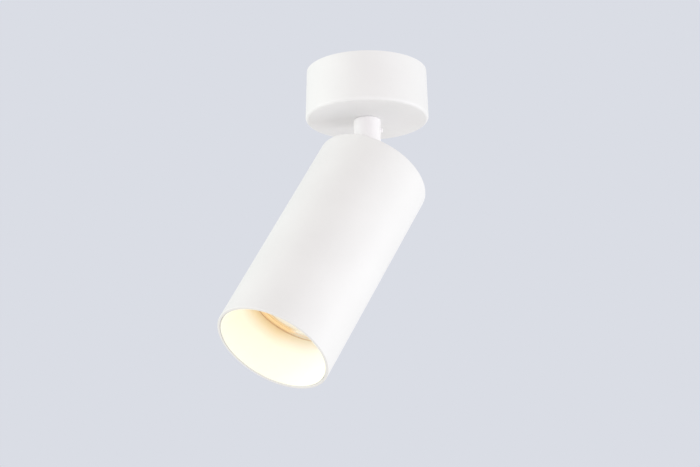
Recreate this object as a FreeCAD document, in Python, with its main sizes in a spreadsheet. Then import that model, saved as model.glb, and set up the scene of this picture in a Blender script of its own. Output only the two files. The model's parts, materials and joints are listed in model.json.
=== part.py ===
import FreeCAD, Part
import math
import os
import Sketcher

# Surface mounted ceiling spotlight: a round canopy on a ceiling bracket, a stem that turns in the
# canopy, and a long cylindrical head that tilts on the stem and holds a lamp and a reflector.
#
# Frame: millimetres, origin at the centre of the ceiling face, +Z up into the ceiling.
# The stem and what turns with it are drawn with +X towards the side that the head leans to.
# The head and what it holds are drawn upright about the tilt pivot, with +Z along the head.

os.makedirs("parts", exist_ok=True)
doc = FreeCAD.newDocument("ceiling_spotlight")
sheet = doc.addObject("Spreadsheet::Sheet", "Sizes")

DRIVING_SIZES = [
    # canopy and the bracket inside it
    ("canopy_height", 25.0),
    ("canopy_base_r", 30.0),
    ("canopy_top_r", 29.3),
    ("canopy_wall", 1.5),
    ("canopy_floor", 1.8),
    ("canopy_edge_r", 1.5),
    ("canopy_screw_drop", 6.0),
    ("bracket_sheet", 1.5),
    ("bracket_width", 16.0),
    ("bracket_canopy_gap", 0.4),
    ("ear_width", 8.0),
    ("ear_height", 10.0),
    ("bracket_neck", 2.5),
    ("ceiling_slot_r", 2.25),
    ("ceiling_slot_length", 10.0),
    ("ceiling_slot_spacing", 34.0),
    ("cable_hole_r", 5.0),
    ("block_tab_width", 16.0),
    ("earth_tab_width", 10.0),
    ("earth_tab_length", 8.0),
    # screws, pins and running clearances
    ("small_screw_r", 1.5),
    ("small_head_r", 2.75),
    ("small_head_height", 1.8),
    ("screw_gap", 0.15),
    ("run_gap", 0.05),
    ("face_gap", 0.1),
    ("socket_r", 0.9),
    ("socket_depth", 1.0),
    # terminal block
    ("block_width", 12.0),
    ("block_height", 10.0),
    ("block_setback", 1.0),
    ("pole_pitch", 8.0),
    ("insert_r", 2.2),
    ("insert_bore_r", 1.25),
    ("insert_inset", 1.0),
    ("clamp_screw_r", 1.1),
    ("clamp_screw_offset", 3.0),
    ("clamp_screw_inset", 0.9),
    ("block_screw_r", 1.25),
    ("block_screw_head_r", 1.7),
    ("block_screw_head", 1.2),
    # earth fixings
    ("ring_r", 3.2),
    ("ring_sheet", 0.8),
    ("barrel_r", 1.35),
    ("barrel_length", 3.2),
    ("tongue_width", 1.9),
    ("link_terminal_turn", 140.0),
    # leads
    ("lead_r", 0.9),
    ("lead_row", 1.9),
    ("lead_flex_gap", 0.6),
    ("lead_joint_gap", 0.2),
    ("lead_insert", 2.0),
    ("lead_rise", 4.6),
    ("lead_run_in", 4.5),
    ("earth_lead_dip", 3.7),
    ("earth_lead_run_in", 1.6),
    ("link_run_out", 4.0),
    ("link_bow", 2.0),
    ("link_dip", 1.2),
    ("link_run_in", 3.0),
    ("head_lead_stand", 0.5),
    # pan bearing at the canopy floor
    ("bush_wall", 1.0),
    ("bush_flange_r", 9.0),
    ("bush_flange", 0.8),
    ("stop_circle_r", 15.0),
    ("stop_pin_r", 1.2),
    ("stop_pin_height", 3.6),
    ("stop_pin_seat", 0.9),
    ("stop_tab_width", 2.4),
    ("stop_washer_r", 9.0),
    ("stop_washer_sheet", 1.0),
    ("spring_washer_r", 8.2),
    ("spring_washer_sheet", 1.2),
    ("spring_washer_split", 1.2),
    ("nut_flats", 14.0),
    ("nut_height", 3.0),
    ("nipple_r", 5.0),
    ("nipple_bore_r", 3.5),
    ("nipple_stand", 1.2),
    ("nipple_depth", 11.0),
    # stem
    ("stem_r", 6.5),
    ("stem_bore_r", 3.0),
    ("stem_edge", 0.5),
    ("pivot_drop", 32.0),
    ("stem_tail", 5.5),
    ("stem_flat", 5.2),
    ("flat_rise", 6.8),
    ("fork_rise", 1.5),
    ("set_screw_r", 1.15),
    ("set_screw_drop", 5.2),
    ("set_screw_stand", 1.0),
    ("set_socket_r", 0.63),
    ("pivot_screw_r", 2.0),
    ("pivot_head_r", 3.3),
    ("pivot_head_height", 1.9),
    ("pivot_socket_r", 1.17),
    # pose of the head and its travel
    ("head_azimuth", -141.68),
    ("head_tilt", 32.32),
    ("tilt_limit", 60.0),
    # head
    ("head_r", 28.0),
    ("head_length", 112.0),
    ("head_wall", 1.3),
    ("head_edge_r", 0.7),
    ("mouth_edge_r", 0.3),
    ("pivot_depth", 5.4),
    ("cap_sheet", 1.5),
    ("cap_recess", 0.3),
    ("slot_gap", 0.5),
    ("cap_screw_inset", 6.7),
    ("spacer_r", 3.0),
    # hinge bracket
    ("hinge_sheet", 1.5),
    ("hinge_width", 18.0),
    ("hinge_shell_gap", 1.5),
    ("hinge_ear_width", 10.0),
    ("hinge_ear_rise", 3.2),
    ("hinge_plate_drop", 14.0),
    ("hinge_window", 12.0),
    ("hinge_tab_width", 9.0),
    ("hinge_tab_screw", 13.5),
    ("pivot_washer_sheet", 0.8),
    # lampholder
    ("holder_r", 13.5),
    ("holder_height", 13.0),
    ("holder_edge", 0.8),
    ("holder_screw_offset", 9.5),
    ("holder_recess", 2.6),
    ("contact_r", 2.5),
    ("contact_sheet", 1.2),
    ("contact_lead_offset", 4.2),
    # lamp
    ("pin_circle_r", 5.0),
    ("pin_r", 1.4),
    ("pin_head_r", 2.4),
    ("pin_head", 2.0),
    ("pin_length", 7.0),
    ("pin_gap", 0.3),
    ("twist_range", 20.0),
    ("lamp_length", 52.0),
    ("lamp_base_r", 12.5),
    ("lamp_base_height", 9.0),
    ("lamp_flare_step", 4.5),
    ("lamp_flare_drop", 26.0),
    ("lamp_shell_gap", 1.7),
    ("lamp_bezel_height", 7.0),
    ("lamp_bezel_width", 2.6),
    ("lamp_wall", 1.2),
    ("lens_sheet", 1.3),
    ("lens_recess", 0.3),
    ("board_sheet", 1.6),
    ("chip_size", 3.0),
    ("chip_height", 0.7),
    ("chip_circle_r", 10.0),
    # reflector
    ("reflector_gap", 1.0),
    ("reflector_recess", 0.3),
    ("reflector_fit", 0.1),
    ("reflector_lip", 0.4),
    ("reflector_band", 3.0),
    ("reflector_draw", 3.8),
    ("reflector_rim", 1.4),
    ("leaf_sheet", 0.35),
    ("leaf_root_drop", 3.0),
    ("leaf_crest_drop", 9.5),
    ("leaf_toe_drop", 15.0),
    ("leaf_sweep", 14.0),
]


class Size:
    """A size as its number and as the formula that gives it from the sheet."""

    def __init__(self, number, formula):
        self.number = number
        self.formula = formula

    def __add__(self, other):
        other = as_size(other)
        return Size(self.number + other.number, f"({self.formula} + {other.formula})")

    def __sub__(self, other):
        other = as_size(other)
        return Size(self.number - other.number, f"({self.formula} - {other.formula})")

    def __mul__(self, other):
        other = as_size(other)
        return Size(self.number * other.number, f"({self.formula} * {other.formula})")

    def __truediv__(self, other):
        other = as_size(other)
        return Size(self.number / other.number, f"({self.formula} / {other.formula})")

    def __neg__(self):
        return Size(-self.number, f"(-{self.formula})")

    def smaller(self, other):
        return Size(min(self.number, other.number), f"min({self.formula}; {other.formula})")

    def root(self):
        return Size(math.sqrt(self.number), f"sqrt({self.formula})")

    def cosine(self):
        return Size(math.cos(math.radians(self.number)), f"cos({self.formula} * 1deg)")

    def tangent(self):
        return Size(math.tan(math.radians(self.number)), f"tan({self.formula} * 1deg)")


def as_size(value):
    return value if isinstance(value, Size) else Size(value, repr(value))


class SizeSheet:
    """The driving sizes by name, each tied to its cell in the sheet."""

    def __init__(self, rows):
        for line, (name, number) in enumerate(rows, 1):
            sheet.set(f"A{line}", name.replace("_", " "))
            sheet.set(f"B{line}", str(number))
            sheet.setAlias(f"B{line}", name)
            setattr(self, name, Size(number, f"Sizes.{name}"))


s = SizeSheet(DRIVING_SIZES)
doc.recompute()
ZERO = Size(0.0, "0")
subparts = []

# ---------------------------------------------------------------- heights and radii that follow

FLOOR_TOP = s.canopy_floor - s.canopy_height
PIVOT_Z = -(s.canopy_height + s.pivot_drop)
BRACKET_UNDER = -s.bracket_sheet
STEM_TOP = -(s.canopy_height + s.face_gap)
STEM_END = PIVOT_Z - s.stem_tail
NIPPLE_END = -(s.canopy_height + s.nipple_depth)
STOP_WASHER_LOW = FLOOR_TOP + s.bush_flange + s.face_gap
SPRING_WASHER_LOW = STOP_WASHER_LOW + s.stop_washer_sheet
NUT_LOW = SPRING_WASHER_LOW + s.spring_washer_sheet
NIPPLE_TOP = NUT_LOW + s.nut_height + s.nipple_stand
STEM_LEAD_TOP = NIPPLE_TOP + s.lead_flex_gap
CANOPY_LEAD_LOW = STEM_LEAD_TOP + s.lead_joint_gap

HEAD_TOP = s.pivot_depth
MOUTH_Z = HEAD_TOP - s.head_length
SHELL_BORE_R = s.head_r - s.head_wall
CAP_TOP = HEAD_TOP - s.cap_recess
CAP_UNDER = CAP_TOP - s.cap_sheet
HINGE_TOP = -s.hinge_plate_drop
HINGE_UNDER = HINGE_TOP - s.hinge_sheet
HOLDER_FACE = HINGE_UNDER - s.holder_height
LAMP_TOP = HOLDER_FACE - s.face_gap
LAMP_FRONT = LAMP_TOP - s.lamp_length
PIN_TIP = LAMP_TOP + s.pin_length
CONTACT_LOW = PIN_TIP + s.face_gap
CONTACT_TOP = CONTACT_LOW + s.contact_sheet
REFLECTOR_TOP = LAMP_FRONT - s.reflector_gap
REFLECTOR_LOW = MOUTH_Z + s.reflector_recess
REFLECTOR_R = SHELL_BORE_R - s.reflector_fit
APERTURE_R = REFLECTOR_R - s.reflector_draw
LAMP_FRONT_R = SHELL_BORE_R - s.lamp_shell_gap
LAMP_FLARE_R = LAMP_FRONT_R - s.lamp_flare_step
CAP_SCREW_Y = SHELL_BORE_R - s.cap_screw_inset
EAR_IN = s.stem_flat + s.face_gap
EAR_OUT = EAR_IN + s.hinge_sheet
PIVOT_HEAD_IN = EAR_OUT + s.pivot_washer_sheet + s.face_gap

STEM_PLACE = FreeCAD.Placement(
    FreeCAD.Vector(0, 0, 0),
    FreeCAD.Rotation(s.head_azimuth.number, 0, 0),
)
HEAD_PLACE = FreeCAD.Placement(
    FreeCAD.Vector(0, 0, PIVOT_Z.number),
    FreeCAD.Rotation(s.head_azimuth.number, -s.head_tilt.number, 0),
)


# ---------------------------------------------------------------- drawing and shaping helpers

PLANE_OF_AXIS = {"x": "YZ_Plane", "y": "XZ_Plane", "z": "XY_Plane"}


def new_body(label, place=None):
    body = doc.addObject("PartDesign::Body", label)
    body.AllowCompound = True
    if place is not None:
        body.Placement = place
    subparts.append(body)
    return body


def origin_part(body, role):
    return next(part for part in body.Origin.OriginFeatures if part.Role == role)


def new_sketch(body, axis, lift=None):
    flat = body.newObject("Sketcher::SketchObject", body.Name + "_sketch")
    flat.AttachmentSupport = [(origin_part(body, PLANE_OF_AXIS[axis]), "")]
    flat.MapMode = "FlatFace"
    if lift is not None:
        flat.setExpression("AttachmentOffset.Base.z", lift.formula)
    return flat


def bind(flat, constraint, size):
    index = flat.addConstraint(constraint)
    flat.setExpression(f"Constraints[{index}]", size.formula)


def hold(flat, shape, end, x, y):
    """Holds one point of a sketch at its distances from the sketch's two axes."""
    for kind, axis_line, size in (("DistanceX", -2, x), ("DistanceY", -1, y)):
        if size is ZERO:
            flat.addConstraint(Sketcher.Constraint("PointOnObject", shape, end, axis_line))
        else:
            bind(flat, Sketcher.Constraint(kind, -1, 1, shape, end, size.number), size)


def polygon(flat, corners):
    points = [FreeCAD.Vector(x.number, y.number, 0) for x, y in corners]
    first = flat.GeometryCount
    count = len(points)
    for i in range(count):
        flat.addGeometry(Part.LineSegment(points[i], points[(i + 1) % count]), False)
    for i in range(count):
        follower = first + (i + 1) % count
        flat.addConstraint(Sketcher.Constraint("Coincident", first + i, 2, follower, 1))
        hold(flat, first + i, 1, *corners[i])


def rectangle(flat, low_x, high_x, low_y, high_y):
    polygon(flat, [(low_x, low_y), (high_x, low_y), (high_x, high_y), (low_x, high_y)])


def circle(flat, x, y, radius):
    middle = FreeCAD.Vector(x.number, y.number, 0)
    shape = flat.addGeometry(Part.Circle(middle, FreeCAD.Vector(0, 0, 1), radius.number), False)
    hold(flat, shape, 3, x, y)
    bind(flat, Sketcher.Constraint("Radius", shape, radius.number), radius)


def slot(flat, first_x, last_x, y, radius):
    """A slot along the sketch's X, given by the centres of its two round ends."""
    up = FreeCAD.Vector(0, 0, 1)
    ends = []
    for x, start, stop in ((first_x, 0.5, 1.5), (last_x, -0.5, 0.5)):
        whole = Part.Circle(FreeCAD.Vector(x.number, y.number, 0), up, radius.number)
        ends.append(flat.addGeometry(Part.ArcOfCircle(whole, start * math.pi, stop * math.pi), False))
        hold(flat, ends[-1], 3, x, y)
    left, right = ends
    low_y, high_y = y.number - radius.number, y.number + radius.number
    low = flat.addGeometry(Part.LineSegment(
        FreeCAD.Vector(first_x.number, low_y, 0), FreeCAD.Vector(last_x.number, low_y, 0)), False)
    high = flat.addGeometry(Part.LineSegment(
        FreeCAD.Vector(last_x.number, high_y, 0), FreeCAD.Vector(first_x.number, high_y, 0)), False)
    for one, one_end, other, other_end in (
        (left, 2, low, 1), (low, 2, right, 1), (right, 2, high, 1), (high, 2, left, 1)
    ):
        flat.addConstraint(Sketcher.Constraint("Tangent", one, one_end, other, other_end))
    flat.addConstraint(Sketcher.Constraint("Equal", left, right))
    bind(flat, Sketcher.Constraint("Radius", left, radius.number), radius)


def extrude(body, axis, low, high, draw, *drawing, cut=False):
    """Adds, or cuts away, a drawn outline between two distances along an axis."""
    flat = new_sketch(body, axis, -high if axis == "y" else low)
    draw(flat, *drawing)
    kind = "PartDesign::Pocket" if cut else "PartDesign::Pad"
    made = body.newObject(kind, body.Name + ("_cut" if cut else "_pad"))
    made.Profile = flat
    made.setExpression("Length", (high - low).formula)
    made.Reversed = cut
    return made


def turn(body, corners, sweep=None, cut=False):
    """Turns an outline of (radius, height) corners about the Z axis."""
    flat = new_sketch(body, "y")
    polygon(flat, corners)
    kind = "PartDesign::Groove" if cut else "PartDesign::Revolution"
    made = body.newObject(kind, body.Name + ("_groove" if cut else "_turned"))
    made.Profile = flat
    made.ReferenceAxis = (flat, ["V_Axis"])
    if sweep is None:
        made.Angle = 360
    else:
        made.setExpression("Angle", sweep.formula)
    return made


def ring(label, place, inner_r, outer_r, low, high):
    body = new_body(label, place)
    turn(body, [(inner_r, low), (outer_r, low), (outer_r, high), (inner_r, high)])
    return body


def repeat_round(body, features, count):
    made = body.newObject("PartDesign::PolarPattern", body.Name + "_around")
    made.Originals = features
    made.Axis = (origin_part(body, "Z_Axis"), [""])
    made.Angle = 360
    made.Occurrences = count
    body.Tip = made
    return made


def repeat_along_x(body, features, length, count):
    made = body.newObject("PartDesign::LinearPattern", body.Name + "_along")
    made.Originals = features
    made.Direction = (origin_part(body, "X_Axis"), [""])
    made.setExpression("Length", length.formula)
    made.Occurrences = count
    body.Tip = made
    return made


def dress_edges(body, kind, size, wanted):
    """Fillets or chamfers the edges of the body's last shape that a test picks."""
    doc.recompute()
    base = body.Tip
    names = [f"Edge{i}" for i, edge in enumerate(base.Shape.Edges, 1) if wanted(edge)]
    made = body.newObject("PartDesign::" + kind, body.Name + "_edges")
    made.Base = (base, names)
    made.setExpression("Radius" if kind == "Fillet" else "Size", size.formula)
    return made


def is_rim(edge, radius, height):
    """Is this edge a whole circle of that radius about Z at that height?"""
    if not isinstance(edge.Curve, Part.Circle):
        return False
    same_radius = abs(edge.Curve.Radius - radius.number) < 0.001
    return same_radius and abs(edge.Curve.Center.z - height.number) < 0.001


def rounded_route(points):
    """Straight runs joined by tangent arcs, each as large as its two runs allow."""
    edges = []
    start = points[0]
    for before, corner, after in zip(points, points[1:], points[2:]):
        back = (before - corner).normalize()
        ahead = (after - corner).normalize()
        half_turn = (math.pi - back.getAngle(ahead)) / 2
        reach = 0.45 * min((before - corner).Length, (after - corner).Length)
        radius = reach / math.tan(half_turn)
        inward = (back + ahead).normalize()
        middle = corner + inward * (radius / math.cos(half_turn) - radius)
        arc_start = corner + back * reach
        arc_end = corner + ahead * reach
        edges.append(Part.LineSegment(start, arc_start).toShape())
        edges.append(Part.Arc(arc_start, middle, arc_end).toShape())
        start = arc_end
    edges.append(Part.LineSegment(start, points[-1]).toShape())
    return Part.Wire(edges)


def new_lead(label, corners, place=None):
    """An insulated lead along a route of (x, y, z) corners."""
    points = [FreeCAD.Vector(*[as_size(value).number for value in corner]) for corner in corners]
    route = rounded_route(points)
    section = Part.Wire(Part.makeCircle(s.lead_r.number, points[0], points[1] - points[0]))
    lead = doc.addObject("Part::Feature", label)
    lead.Shape = route.makePipeShell([section], True, False)
    expected = math.pi * s.lead_r.number ** 2 * route.Length
    if abs(lead.Shape.Volume - expected) > 0.01 * expected:
        raise RuntimeError(label + " is not as long as its route")
    if place is not None:
        lead.Placement = place
    subparts.append(lead)
    return lead


# ---------------------------------------------------------------- ceiling bracket and canopy

SIDE_SCREW_Z = -s.canopy_screw_drop
CANOPY_BORE_TOP_R = s.canopy_top_r - s.canopy_wall
CANOPY_TAPER = (s.canopy_base_r - s.canopy_top_r) / s.canopy_height
CANOPY_BORE_LOW_R = CANOPY_BORE_TOP_R + CANOPY_TAPER * (s.canopy_height - s.canopy_floor)
SIDE_SCREW_R = s.canopy_top_r + CANOPY_TAPER * s.canopy_screw_drop
SIDE_HOLE_REACH = SIDE_SCREW_R + s.canopy_wall
EAR_LOW_BORE_R = CANOPY_BORE_TOP_R + CANOPY_TAPER * (s.bracket_sheet + s.ear_height)
EAR_R = CANOPY_BORE_TOP_R.smaller(EAR_LOW_BORE_R) - s.bracket_canopy_gap
EAR_FACE = (EAR_R * EAR_R - s.ear_width * s.ear_width / 4).root()
HALF_BRACKET = s.bracket_width / 2
BLOCK_LOW_Y = HALF_BRACKET + s.block_setback
BLOCK_HIGH_Y = BLOCK_LOW_Y + s.block_width
BLOCK_MID_Y = BLOCK_LOW_Y + s.block_width / 2
BLOCK_UNDER = BRACKET_UNDER - s.block_height
POLE_Z = BRACKET_UNDER - s.block_height / 2
EARTH_SCREW_Y = -(HALF_BRACKET + s.earth_tab_length / 2)
BLOCK_SCREW_X = s.pole_pitch / 2


def make_mounting_bracket():
    """A steel strip with two tabs and a bent ear at each end."""
    body = new_body("mounting_bracket")
    half_block = s.block_tab_width / 2
    half_earth = s.earth_tab_width / 2
    half_ear = s.ear_width / 2
    plate_end = EAR_FACE - s.bracket_neck
    earth_y = -(HALF_BRACKET + s.earth_tab_length)
    extrude(body, "z", BRACKET_UNDER, ZERO, polygon, [
        (plate_end, -HALF_BRACKET), (plate_end, -half_ear), (EAR_FACE, -half_ear),
        (EAR_FACE, half_ear), (plate_end, half_ear), (plate_end, HALF_BRACKET),
        (half_block, HALF_BRACKET), (half_block, BLOCK_HIGH_Y),
        (-half_block, BLOCK_HIGH_Y), (-half_block, HALF_BRACKET),
        (-plate_end, HALF_BRACKET), (-plate_end, half_ear), (-EAR_FACE, half_ear),
        (-EAR_FACE, -half_ear), (-plate_end, -half_ear), (-plate_end, -HALF_BRACKET),
        (-half_earth, -HALF_BRACKET), (-half_earth, earth_y),
        (half_earth, earth_y), (half_earth, -HALF_BRACKET),
    ])
    for side in (1, -1):
        outer, inner = EAR_FACE * side, (EAR_FACE - s.bracket_sheet) * side
        low_x, high_x = (inner, outer) if side > 0 else (outer, inner)
        ear_low = -(s.bracket_sheet + s.ear_height)
        extrude(body, "z", ear_low, BRACKET_UNDER, rectangle, low_x, high_x, -half_ear, half_ear)
    extrude(body, "x", -EAR_FACE, EAR_FACE, circle, ZERO, SIDE_SCREW_Z,
            s.small_screw_r + s.run_gap, cut=True)
    end_centre = (s.ceiling_slot_length - s.ceiling_slot_r * 2) / 2
    slot_centre = s.ceiling_slot_spacing / 2
    for side in (1, -1):
        centre = slot_centre * side
        extrude(body, "z", BRACKET_UNDER, ZERO, slot, centre - end_centre, centre + end_centre,
                ZERO, s.ceiling_slot_r, cut=True)
    extrude(body, "z", BRACKET_UNDER, ZERO, circle, ZERO, ZERO, s.cable_hole_r, cut=True)
    extrude(body, "z", BRACKET_UNDER, ZERO, circle, ZERO, EARTH_SCREW_Y,
            s.small_screw_r + s.run_gap, cut=True)
    extrude(body, "z", BRACKET_UNDER, ZERO, circle, BLOCK_SCREW_X, BLOCK_MID_Y,
            s.block_screw_r + s.run_gap, cut=True)


def make_canopy():
    """A round cup, open to the ceiling, with a bush hole in its floor and two side screw holes."""
    body = new_body("canopy")
    bush_hole_r = s.nipple_r + s.run_gap + s.bush_wall
    turn(body, [
        (bush_hole_r, -s.canopy_height), (s.canopy_base_r, -s.canopy_height),
        (s.canopy_top_r, ZERO), (CANOPY_BORE_TOP_R, ZERO),
        (CANOPY_BORE_LOW_R, FLOOR_TOP), (bush_hole_r, FLOOR_TOP),
    ])
    dress_edges(body, "Fillet", s.canopy_edge_r,
                lambda edge: is_rim(edge, s.canopy_base_r, -s.canopy_height))
    head_depth = s.small_head_r - s.small_screw_r
    hole_r = s.small_screw_r + s.screw_gap
    extrude(body, "x", -SIDE_HOLE_REACH, SIDE_HOLE_REACH, circle, ZERO, SIDE_SCREW_Z, hole_r, cut=True)
    cone_start = SIDE_SCREW_R - head_depth - s.screw_gap * 2
    cone_top = SIDE_SCREW_Z + s.small_screw_r + (SIDE_HOLE_REACH - cone_start)
    for name, direction in (("right", 1), ("left", -1)):
        flat = new_sketch(body, "y")
        polygon(flat, [
            (cone_start * direction, SIDE_SCREW_Z),
            (SIDE_HOLE_REACH * direction, SIDE_SCREW_Z),
            (SIDE_HOLE_REACH * direction, cone_top),
            (cone_start * direction, SIDE_SCREW_Z + s.small_screw_r),
        ])
        sink = body.newObject("PartDesign::Groove", "countersink_" + name)
        sink.Profile = flat
        sink.ReferenceAxis = (flat, ["Edge1"])
        sink.Angle = 360
    extrude(body, "z", FLOOR_TOP - s.stop_pin_seat, FLOOR_TOP, circle, -s.stop_circle_r, ZERO,
            s.stop_pin_r, cut=True)


def make_canopy_screws():
    """Two countersunk screws that hold the canopy to the ears of the bracket."""
    body = new_body("canopy_screws")
    head_depth = s.small_head_r - s.small_screw_r
    face = SIDE_SCREW_R - s.screw_gap
    tip = EAR_FACE - s.bracket_sheet * 2
    flat = new_sketch(body, "y")
    polygon(flat, [
        (tip, SIDE_SCREW_Z), (face, SIDE_SCREW_Z), (face, SIDE_SCREW_Z + s.small_head_r),
        (face - head_depth, SIDE_SCREW_Z + s.small_screw_r), (tip, SIDE_SCREW_Z + s.small_screw_r),
    ])
    screw = body.newObject("PartDesign::Revolution", "screw_turned")
    screw.Profile = flat
    screw.ReferenceAxis = (flat, ["Edge1"])
    screw.Angle = 360
    socket = extrude(body, "x", face - s.socket_depth, face, circle, ZERO, SIDE_SCREW_Z,
                     s.socket_r, cut=True)
    repeat_round(body, [screw, socket], 2)


def make_terminal_block():
    """A three pole block under the bracket, with its inserts, clamping screws and fixing screw."""
    half_block = s.pole_pitch * 1.5
    body = new_body("terminal_block")
    extrude(body, "z", BLOCK_UNDER, BRACKET_UNDER, rectangle,
            -half_block, half_block, BLOCK_LOW_Y, BLOCK_HIGH_Y)
    pole_hole = extrude(body, "y", BLOCK_LOW_Y, BLOCK_HIGH_Y, circle,
                        -s.pole_pitch, POLE_Z, s.insert_r, cut=True)
    clamp_holes = [
        extrude(body, "z", BLOCK_UNDER, POLE_Z, circle, -s.pole_pitch,
                BLOCK_MID_Y + s.clamp_screw_offset * side, s.clamp_screw_r + s.screw_gap, cut=True)
        for side in (1, -1)
    ]
    repeat_along_x(body, [pole_hole, *clamp_holes], s.pole_pitch * 2, 3)
    extrude(body, "z", BLOCK_UNDER, BRACKET_UNDER, circle, BLOCK_SCREW_X, BLOCK_MID_Y,
            s.block_screw_r + s.run_gap, cut=True)

    inserts = new_body("terminal_inserts")
    insert_low = BLOCK_LOW_Y + s.insert_inset
    insert_high = BLOCK_HIGH_Y - s.insert_inset
    tube = extrude(inserts, "y", insert_low, insert_high, circle, -s.pole_pitch, POLE_Z, s.insert_r)
    bore = extrude(inserts, "y", insert_low, insert_high, circle,
                   -s.pole_pitch, POLE_Z, s.insert_bore_r, cut=True)
    threads = [
        extrude(inserts, "z", POLE_Z - s.insert_r - s.run_gap, POLE_Z, circle, -s.pole_pitch,
                BLOCK_MID_Y + s.clamp_screw_offset * side, s.clamp_screw_r + s.run_gap, cut=True)
        for side in (1, -1)
    ]
    repeat_along_x(inserts, [tube, bore, *threads], s.pole_pitch * 2, 3)

    screws = new_body("terminal_screws")
    shanks = [
        extrude(screws, "z", BLOCK_UNDER + s.clamp_screw_inset, POLE_Z - s.lead_r - s.run_gap, circle,
                -s.pole_pitch, BLOCK_MID_Y + s.clamp_screw_offset * side, s.clamp_screw_r)
        for side in (1, -1)
    ]
    repeat_along_x(screws, shanks, s.pole_pitch * 2, 3)

    fixing = new_body("terminal_fixing_screw")
    extrude(fixing, "z", BLOCK_UNDER, -s.run_gap, circle, BLOCK_SCREW_X, BLOCK_MID_Y, s.block_screw_r)
    extrude(fixing, "z", BLOCK_UNDER - s.block_screw_head, BLOCK_UNDER, circle,
            BLOCK_SCREW_X, BLOCK_MID_Y, s.block_screw_head_r)


def make_ring_terminal(label, place, ring_top):
    """A ring tongue with its crimp barrel along +X, hung below the ring's upper face."""
    body = new_body(label, place)
    ring_low = ring_top - s.ring_sheet
    barrel_x = s.ring_r
    half_tongue = s.tongue_width / 2
    extrude(body, "z", ring_low, ring_top, circle, ZERO, ZERO, s.ring_r)
    extrude(body, "z", ring_low, ring_top, rectangle,
            ZERO, barrel_x + s.barrel_length, -half_tongue, half_tongue)
    extrude(body, "x", barrel_x, barrel_x + s.barrel_length, circle,
            ZERO, ring_top - s.barrel_r, s.barrel_r)
    extrude(body, "x", barrel_x + s.ring_sheet, barrel_x + s.barrel_length, circle,
            ZERO, ring_top - s.barrel_r, s.lead_r + s.run_gap, cut=True)
    extrude(body, "z", ring_low, ring_top, circle, ZERO, ZERO, s.small_screw_r + s.run_gap, cut=True)


def make_bracket_earth():
    """Two ring terminals stacked under the earth screw of the bracket."""
    place = FreeCAD.Placement(
        FreeCAD.Vector(0, EARTH_SCREW_Y.number, 0), FreeCAD.Rotation(90, 0, 0))
    make_ring_terminal("stem_earth_terminal", place, BRACKET_UNDER)
    link_place = FreeCAD.Placement(
        FreeCAD.Vector(0, EARTH_SCREW_Y.number, 0), FreeCAD.Rotation(s.link_terminal_turn.number, 0, 0))
    make_ring_terminal("link_earth_terminal", link_place, BRACKET_UNDER - s.ring_sheet)
    screw = new_body("bracket_earth_screw")
    head_top = BRACKET_UNDER - s.ring_sheet * 2
    extrude(screw, "z", head_top, -s.run_gap, circle, ZERO, EARTH_SCREW_Y, s.small_screw_r)
    extrude(screw, "z", head_top - s.small_head_height, head_top, circle,
            ZERO, EARTH_SCREW_Y, s.small_head_r)
    extrude(screw, "z", head_top - s.small_head_height, head_top - s.small_head_height + s.socket_depth,
            circle, ZERO, EARTH_SCREW_Y, s.socket_r, cut=True)


LIVE_POLE = ZERO
NEUTRAL_POLE = s.pole_pitch
EARTH_POLE = -s.pole_pitch


def beside_stem(offset):
    """World X and Y of a lead that stands in the row across the stem, offset along it."""
    along = STEM_PLACE.Rotation.multVec(FreeCAD.Vector(0, offset.number, 0))
    return along.x, along.y


def make_canopy_leads():
    """Leads between the top of the stem, the terminal block and the bracket's earth screw."""
    lead_end_y = BLOCK_MID_Y - s.clamp_screw_offset + s.clamp_screw_r
    bend_z = CANOPY_LEAD_LOW + s.lead_rise
    for label, offset, pole in (
        ("canopy_live_lead", -s.lead_row, LIVE_POLE),
        ("canopy_neutral_lead", s.lead_row, NEUTRAL_POLE),
    ):
        x, y = beside_stem(offset)
        new_lead(label, [
            (x, y, CANOPY_LEAD_LOW), (x, y, bend_z),
            (pole, BLOCK_LOW_Y - s.lead_run_in, POLE_Z), (pole, lead_end_y, POLE_Z),
        ])
    barrel_z = BRACKET_UNDER - s.barrel_r
    barrel_mouth_y = EARTH_SCREW_Y + s.ring_r + s.barrel_length
    new_lead("canopy_earth_lead", [
        (ZERO, ZERO, CANOPY_LEAD_LOW), (ZERO, ZERO, barrel_z - s.earth_lead_dip),
        (ZERO, barrel_mouth_y + s.earth_lead_run_in, barrel_z),
        (ZERO, barrel_mouth_y - s.lead_insert, barrel_z),
    ])
    link_z = barrel_z - s.ring_sheet
    turned = FreeCAD.Rotation(s.link_terminal_turn.number, 0, 0)
    direction = turned.multVec(FreeCAD.Vector(1, 0, 0))
    mouth_reach = s.ring_r + s.barrel_length
    inside = direction * (mouth_reach - s.lead_insert).number
    outside = direction * (mouth_reach + s.link_run_out).number
    new_lead("earth_link_lead", [
        (inside.x, EARTH_SCREW_Y.number + inside.y, link_z),
        (outside.x, EARTH_SCREW_Y.number + outside.y, link_z),
        (EARTH_POLE - s.link_bow, ZERO, link_z - s.link_dip),
        (EARTH_POLE, BLOCK_LOW_Y - s.link_run_in, POLE_Z),
        (EARTH_POLE, lead_end_y, POLE_Z),
    ])


# ---------------------------------------------------------------- pan bearing in the canopy floor


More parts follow.
